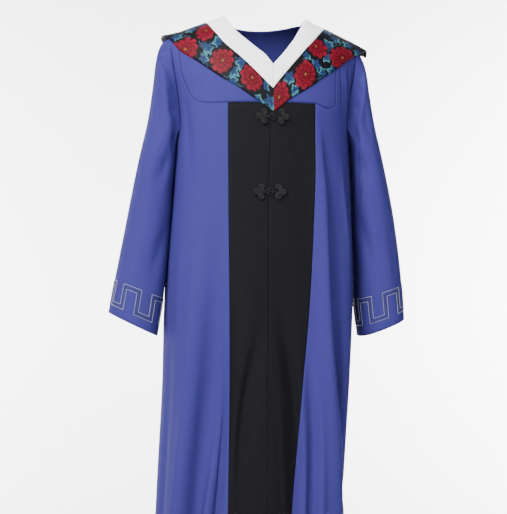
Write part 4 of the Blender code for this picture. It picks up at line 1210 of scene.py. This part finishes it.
def draw_flower(colours, along, out, at, turn):
    """A chrysanthemum: rings of narrow petals, each ring over the last, every petal dark where
    it meets the next and pale at its notched tip, round a small gold heart."""
    radius = np.hypot(along - at[0], out - at[1]) / FLOWER
    angle = np.arctan2(out - at[1], along - at[0]) + turn
    for size, count, offset in PETAL_RINGS:
        local = (angle + np.radians(offset)) * count / (2 * np.pi)
        across = 2 * np.abs(local - np.round(local))
        uneven = np.sin(7.3 * (np.round(local) % count) + 11 * size + 5 * turn)
        edge = size * (1 + 0.11 * uneven - 0.26 * across ** 2.2
                       - dip(across, PETAL_NOTCH))
        mask = soft_edge((edge - radius) * FLOWER, PRINT_STEP)
        reach = np.clip(radius / edge, 0, 1)
        light = ease((reach - 0.70) / 0.28) * (1 - across ** 2) * (0.65 + 0.35 * uneven)
        dark = ease((across - 0.72) / 0.28) * 0.85 + 0.5 * ease((0.75 - reach) / 0.25)
        shade = blend(np.asarray(PRINT_COLOURS["petal"]), PRINT_COLOURS["petal_light"], light)
        shade = blend(shade, PRINT_COLOURS["petal_dark"], np.clip(dark, 0, 1))
        colours = blend(colours, shade, mask)
    heart = soft_edge((0.10 - radius) * FLOWER, 0.0008)
    return blend(colours, PRINT_COLOURS["heart"], heart)


def print_colours(side, along, out):
    """The whole print at distances along the collar and out from the band: ground, tendrils,
    leaves, then flowers with a dark outline, each over the last."""
    colours = np.tile(np.asarray(PRINT_COLOURS["ground"]), (len(along), 1))
    colours = draw_tendrils(colours, along, out)
    for number, (leaf_along, leaf_out, turn) in enumerate(LEAVES[side]):
        length = LEAF * (0.85 + 0.15 * np.cos(3 * number))
        near = np.hypot(along - leaf_along, out - leaf_out) < 1.3 * length
        colours[near] = draw_leaf(colours[near], along[near], out[near], (leaf_along, leaf_out),
                                  np.radians(turn), length)
    for flower_along, flower_out, turn in FLOWERS[side]:
        radius = np.hypot(along - flower_along, out - flower_out)
        halo = soft_edge(1.07 * FLOWER - radius, 0.0008)
        colours = blend(colours, PRINT_COLOURS["ground"], halo)
        near = radius < 1.1 * FLOWER
        colours[near] = draw_flower(colours[near], along[near], out[near],
                                    (flower_along, flower_out), np.radians(turn))
    return colours


def printed_satin():
    """Satin that takes its colour from the piece's own print attribute, with a fine weave."""
    material = cloth_material("printed satin", linear(20, 20, 28), linear(24, 24, 32),
                              0.55, 0.0, 0.2, threads=3000.0, shine=0.08)
    tree = material.node_tree
    shader = tree.nodes["Principled BSDF"]
    shade = next(node for node in tree.nodes if node.type == "GROUP" and node.node_tree == TWILL)
    printed = add_node(tree, "ShaderNodeAttribute", attribute_name="print").outputs[0]
    worn = add_node(tree, "ShaderNodeHueSaturation", {"Color": printed})
    lift = add_node(tree, "ShaderNodeMapRange", {0: shade.outputs["Shade"], 3: 0.88, 4: 1.12})
    tree.links.new(lift.outputs[0], worn.inputs["Value"])
    tree.links.new(worn.outputs[0], shader.inputs["Base Color"])
    return material


print_satin = printed_satin()
lining_satin = cloth_material("black collar lining", linear(16, 16, 22), linear(26, 26, 34),
                              0.50, 0.05, 0.2, threads=3000.0)


def build_collar(side):
    """The printed face on top, rounded over at its outer edge, and the lining under it."""
    _, shared, outer = laid_edges(side, COLLAR_ROWS)
    shares = np.linspace(0.003, 1, COLLAR_COLUMNS)
    points, out = laid_surface(side, shared, outer, shares)
    distance = metric_map(points)
    from_edge = distance[:, -1:, 0] - distance[..., 0]
    roll = dip(from_edge, COLLAR_ROLL)
    tuck = dip(distance[..., 0], COLLAR_TUCK)
    face = points + out * (COLLAR_CLOTH - roll - tuck + COLLAR_WANDER * wander(points))[..., None]
    name = "collar_" + SIDE_NAMES[side]
    mesh = cloth_mesh(name + "_print", face, out)
    middle = metric_map(face)[:, COLLAR_COLUMNS // 3, 1]
    along = np.repeat(middle[:, None], COLLAR_COLUMNS, axis=1).ravel()
    colours = print_colours(side, along, distance[..., 0].ravel())
    attribute = mesh.color_attributes.new("print", "FLOAT_COLOR", "POINT")
    rgba = np.concatenate([colours, np.ones((len(colours), 1))], axis=1)
    attribute.data.foreach_set("color", rgba.astype(np.float32).ravel())
    face_piece = dress(name + "_print", mesh, print_satin, ["collar_" + SIDE_NAMES[side]])
    _, shared, outer = laid_edges(side, LINING_ROWS)
    under, out = laid_surface(side, shared, outer, np.linspace(shares[0], 1, LINING_COLUMNS))
    mesh = cloth_mesh(name + "_lining", under + out * LINING_LIFT, -out)
    lining = dress(name + "_lining", mesh, lining_satin, [], LINING_CLOTH)
    return face_piece, lining


for side in (RIGHT, LEFT):
    for piece in build_collar(side):
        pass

# Frogs
# Two fastenings of round black braided cord, hand-sewn over the opening. Each half is a trefoil
# of cord loops; the right one ends in a loop that holds the left one's ball knot.

# Middle of each frog as across and drop; middle of each lobe as sideways and upward from it
FROG_PLACES = {"upper": (0.0032, 0.1985), "lower": (-0.0028, 0.3376)}
CORD = 0.0044                   # thickness of the cord in the solids
CORD_RADIUS = 0.00115           # radius of the braid, and below it that of the knot's
KNOT_CORD_RADIUS = 0.0011
CORD_STEP = 0.00045             # distance between the braid's rings
CORD_SIDES = 14
STRAND_DIP = 0.16               # share of the radius that is lost between two strands
STRAND_TWIST = 0.0011           # length over which the strands turn by one unit of angle
LOBE_RIM = 0.0060               # radius of a lobe's outer turn, to the middle of the cord
LOBE_STEP = 0.0021              # how far each turn lies inside the last
LOBE_TURNS = 2.3                # turns that the cord makes in each lobe
LOBE_PLACES = ((0.0160, 0.0084), (0.0250, 0), (0.0160, -0.0084))
LOBE_RISE = 0.0006              # height of a coil's rim over the frog's plane, and its rise inwards
UNDER = 0.0012                  # how far the cord lies under the coil on its way back out
LOOP = 0.0056                   # radius of the loop, to the middle of the cord
LOOP_MOUTH = 0.25               # half the angle that the loop leaves open
KNOT = 0.0031                   # radius of the ball knot
KNOT_TILT = 0.95                # how far the knot's windings swing from its middle, as an angle
KNOT_INSET = 0.0008             # how far the cord's middle lies inside the knot's radius
KNOT_RISE = 0.0012
HUB_PLACE = 0.0172              # distance from the frog's middle to the point where lobes meet
HUB_RISE = 0.0005
# The darker tone is painted shade in the braid's grooves; the paler tone is a painted highlight on
# its ridges.
cord_black = thread_material("black braided cord", linear(4, 4, 6), linear(15, 15, 18), 0.0)


def frog_frame(across, drop):
    """Where a frog sits on the panels: its middle and its sideways, upward and outward axes."""
    spot = place(np.array([across]), np.array([drop]))
    point = body(spot[:, 0], spot[:, 1])[0]
    out = body_outward(spot[:, 0], spot[:, 1])[0]
    sideways = np.array([1.0, 0, 0])
    sideways = unit(sideways - out * sideways.dot(out))
    return point + out * (CORD / 2 + LAY), np.stack([sideways, np.cross(out, sideways), out])


def cord_tube(name, path, at, axes, radius):
    """Braided cord along a path in the frog's plane: its radius waves with two strands that
    wind round it."""
    length = run_length(path)
    finer = np.arange(0, length[-1], CORD_STEP)
    path = read_rows(finer, length, path)
    kernel = np.hanning(9)
    padded = np.pad(path, ((4, 4), (0, 0)), mode="edge")
    path = np.stack([np.convolve(padded[:, k], kernel / kernel.sum(), "valid")
                     for k in range(3)], -1)
    turns = np.linspace(0, 2 * np.pi, CORD_SIDES, endpoint=False)[None]
    strands = 1 - STRAND_DIP * np.abs(np.sin(1.5 * turns - finer[:, None] / STRAND_TWIST))
    along = unit(np.gradient(path, axis=0))
    beside = unit(np.cross(along, np.tile((0.0, 0.0, 1.0), (len(path), 1))))
    tube, ring = ringed(path, np.cross(beside, along), beside, turns, radius * strands)
    return cloth_mesh(name, at + tube @ axes, ring @ axes, tube=True)


def lobe_path(centre, towards):
    """One lobe of the trefoil: a spiral that starts at the rim, on the side of the hub, and rises
    a little towards its middle."""
    start = np.arctan2(-centre[1], towards * HUB_PLACE - centre[0])
    turn = np.linspace(0, LOBE_TURNS * 2 * np.pi, 110)
    radius = LOBE_RIM - LOBE_STEP * turn / (2 * np.pi)
    rise = LOBE_RISE + LOBE_RISE * turn / turn[-1]
    return np.stack([centre[0] + radius * np.cos(turn + start),
                     centre[1] + radius * np.sin(turn + start), rise], -1)


for frog, (frog_across, frog_drop) in FROG_PLACES.items():
    at, axes = frog_frame(frog_across, frog_drop)
    for side in (RIGHT, LEFT):
        hub = np.array([[side * HUB_PLACE, 0, HUB_RISE]])
        parts = []
        for lobe_at in LOBE_PLACES:
            coil = lobe_path((side * lobe_at[0], lobe_at[1]), side)
            parts += [hub, coil, coil[::-1] - (0, 0, UNDER)]
        if side == RIGHT:
            turn = np.linspace(LOOP_MOUTH, 2 * np.pi - LOOP_MOUTH, 48) + np.pi
            parts += [np.stack([LOOP * np.cos(turn), LOOP * np.sin(turn), 0 * turn], -1), hub]
        else:
            parts += [np.array([[LOOP + CORD / 2 + SEAM, 0, 0]])]
        name = f"frog_{frog}_{SIDE_NAMES[side]}"
        mesh = cord_tube(name + "_cord", np.concatenate(parts), at, axes, CORD_RADIUS)
        dress(name + "_cord", mesh, cord_black, [name])
    turn = np.linspace(0, 2 * np.pi, 160)
    tilt = KNOT_TILT * np.sin(3 * turn)
    winding = np.stack([np.cos(2 * turn) * np.cos(tilt), np.sin(2 * turn) * np.cos(tilt),
                        np.sin(tilt)], -1) * (KNOT - KNOT_INSET)
    winding[:, 2] += KNOT_RISE
    name = f"frog_{frog}_knot"
    mesh = cord_tube(name + "_cord", winding, at, axes, KNOT_CORD_RADIUS)
    dress(name + "_cord", mesh, cord_black, [name])

# Room, lights and camera
# A pale seamless backdrop and floor with soft daylight from the front left, and a level camera
# that stands a little to the wearer's right.
FLOOR = -1.80                   # height of the floor
WALL = 4.3                      # distance to the wall behind the gown
BEND = 0.9                      # radius of the curve between floor and wall
FLOOR_START = -6.0              # where the floor starts, in front of the gown
WALL_TOP = 5.0
ROOM_SIDE = 9.0                 # how far floor and wall reach on each side
# Lamps: place, the point faced, edge length in metres, power in watts and colour
LAMPS = {
    "window": ((-1.5, -1.9, 1.6), (0, 0, -0.25), 1.6, 285, (1.0, 0.99, 0.98)),
    "fill": ((0.4, -3.5, 0.6), (0, 0, -0.3), 2.0, 85, (0.98, 0.98, 1.0)),
    "backdrop light right": ((-3.0, 2.2, -0.4), (-1.8, 4.3, -0.4), 2.0, 640, (1.0, 1.0, 1.0)),
    "backdrop light left": ((3.0, 2.2, -0.4), (1.8, 4.3, -0.4), 2.0, 640, (1.0, 1.0, 1.0)),
}


def room_material():
    """Matt paint with a faint unevenness."""
    material, tree, shader = new_material("pale paint")
    where = tree.nodes.new("ShaderNodeTexCoord").outputs["Object"]
    noise = add_node(tree, "ShaderNodeTexNoise", {"Vector": where, "Scale": 0.8, "Detail": 2.0})
    colour = between(tree, noise.outputs[0], linear(230, 230, 234), linear(238, 238, 240))
    tree.links.new(colour, shader.inputs["Base Color"])
    shader.inputs["Roughness"].default_value = 0.9
    return material


def build_room():
    """A floor that bends up into a wall behind the gown, as one strip."""
    bend = np.linspace(0, QUARTER, 24)
    profile = [(FLOOR_START, FLOOR)]
    profile += [(WALL - BEND + BEND * np.sin(a), FLOOR + BEND - BEND * np.cos(a)) for a in bend]
    profile.append((WALL, WALL_TOP))
    back, up = np.array(profile).T[:, :, None]
    wide = np.array([[-ROOM_SIDE, 0.0, ROOM_SIDE]])
    points = np.stack(np.broadcast_arrays(wide, back, up), -1)
    out = np.tile((0.0, 0.0, 1.0), (len(profile), 3, 1))
    mesh = cloth_mesh("room", points, out)
    mesh.materials.append(room_material())
    room = bpy.data.objects.new("room", mesh)
    bpy.context.scene.collection.objects.link(room)


def add_light(name, at, towards, size, power, colour):
    """A soft square lamp that faces a point."""
    lamp = bpy.data.lights.new(name, "AREA")
    lamp.size = size
    lamp.energy = power
    lamp.color = colour
    holder = bpy.data.objects.new(name, lamp)
    bpy.context.scene.collection.objects.link(holder)
    holder.location = at
    direction = Vector(towards) - Vector(at)
    holder.rotation_euler = direction.to_track_quat("-Z", "Y").to_euler()


build_room()
for name, settings in LAMPS.items():
    add_light(name, *settings)

world = bpy.data.worlds.new("room light")
world.use_nodes = True
world.node_tree.nodes["Background"].inputs[0].default_value = (0.97, 0.98, 1.0, 1)
world.node_tree.nodes["Background"].inputs[1].default_value = 0.55
bpy.context.scene.world = world

camera_data = bpy.data.cameras.new("camera")
camera_data.sensor_fit = "VERTICAL"
camera_data.sensor_height = 36
camera_data.sensor_width = 36
camera_data.lens = 86.2
camera_data.shift_x = -0.00875
camera = bpy.data.objects.new("camera", camera_data)
camera.location = (-0.3003, -2.3811, -0.458)
camera.rotation_euler = (QUARTER, 0, np.radians(-7))
bpy.context.scene.collection.objects.link(camera)
bpy.context.scene.camera = camera
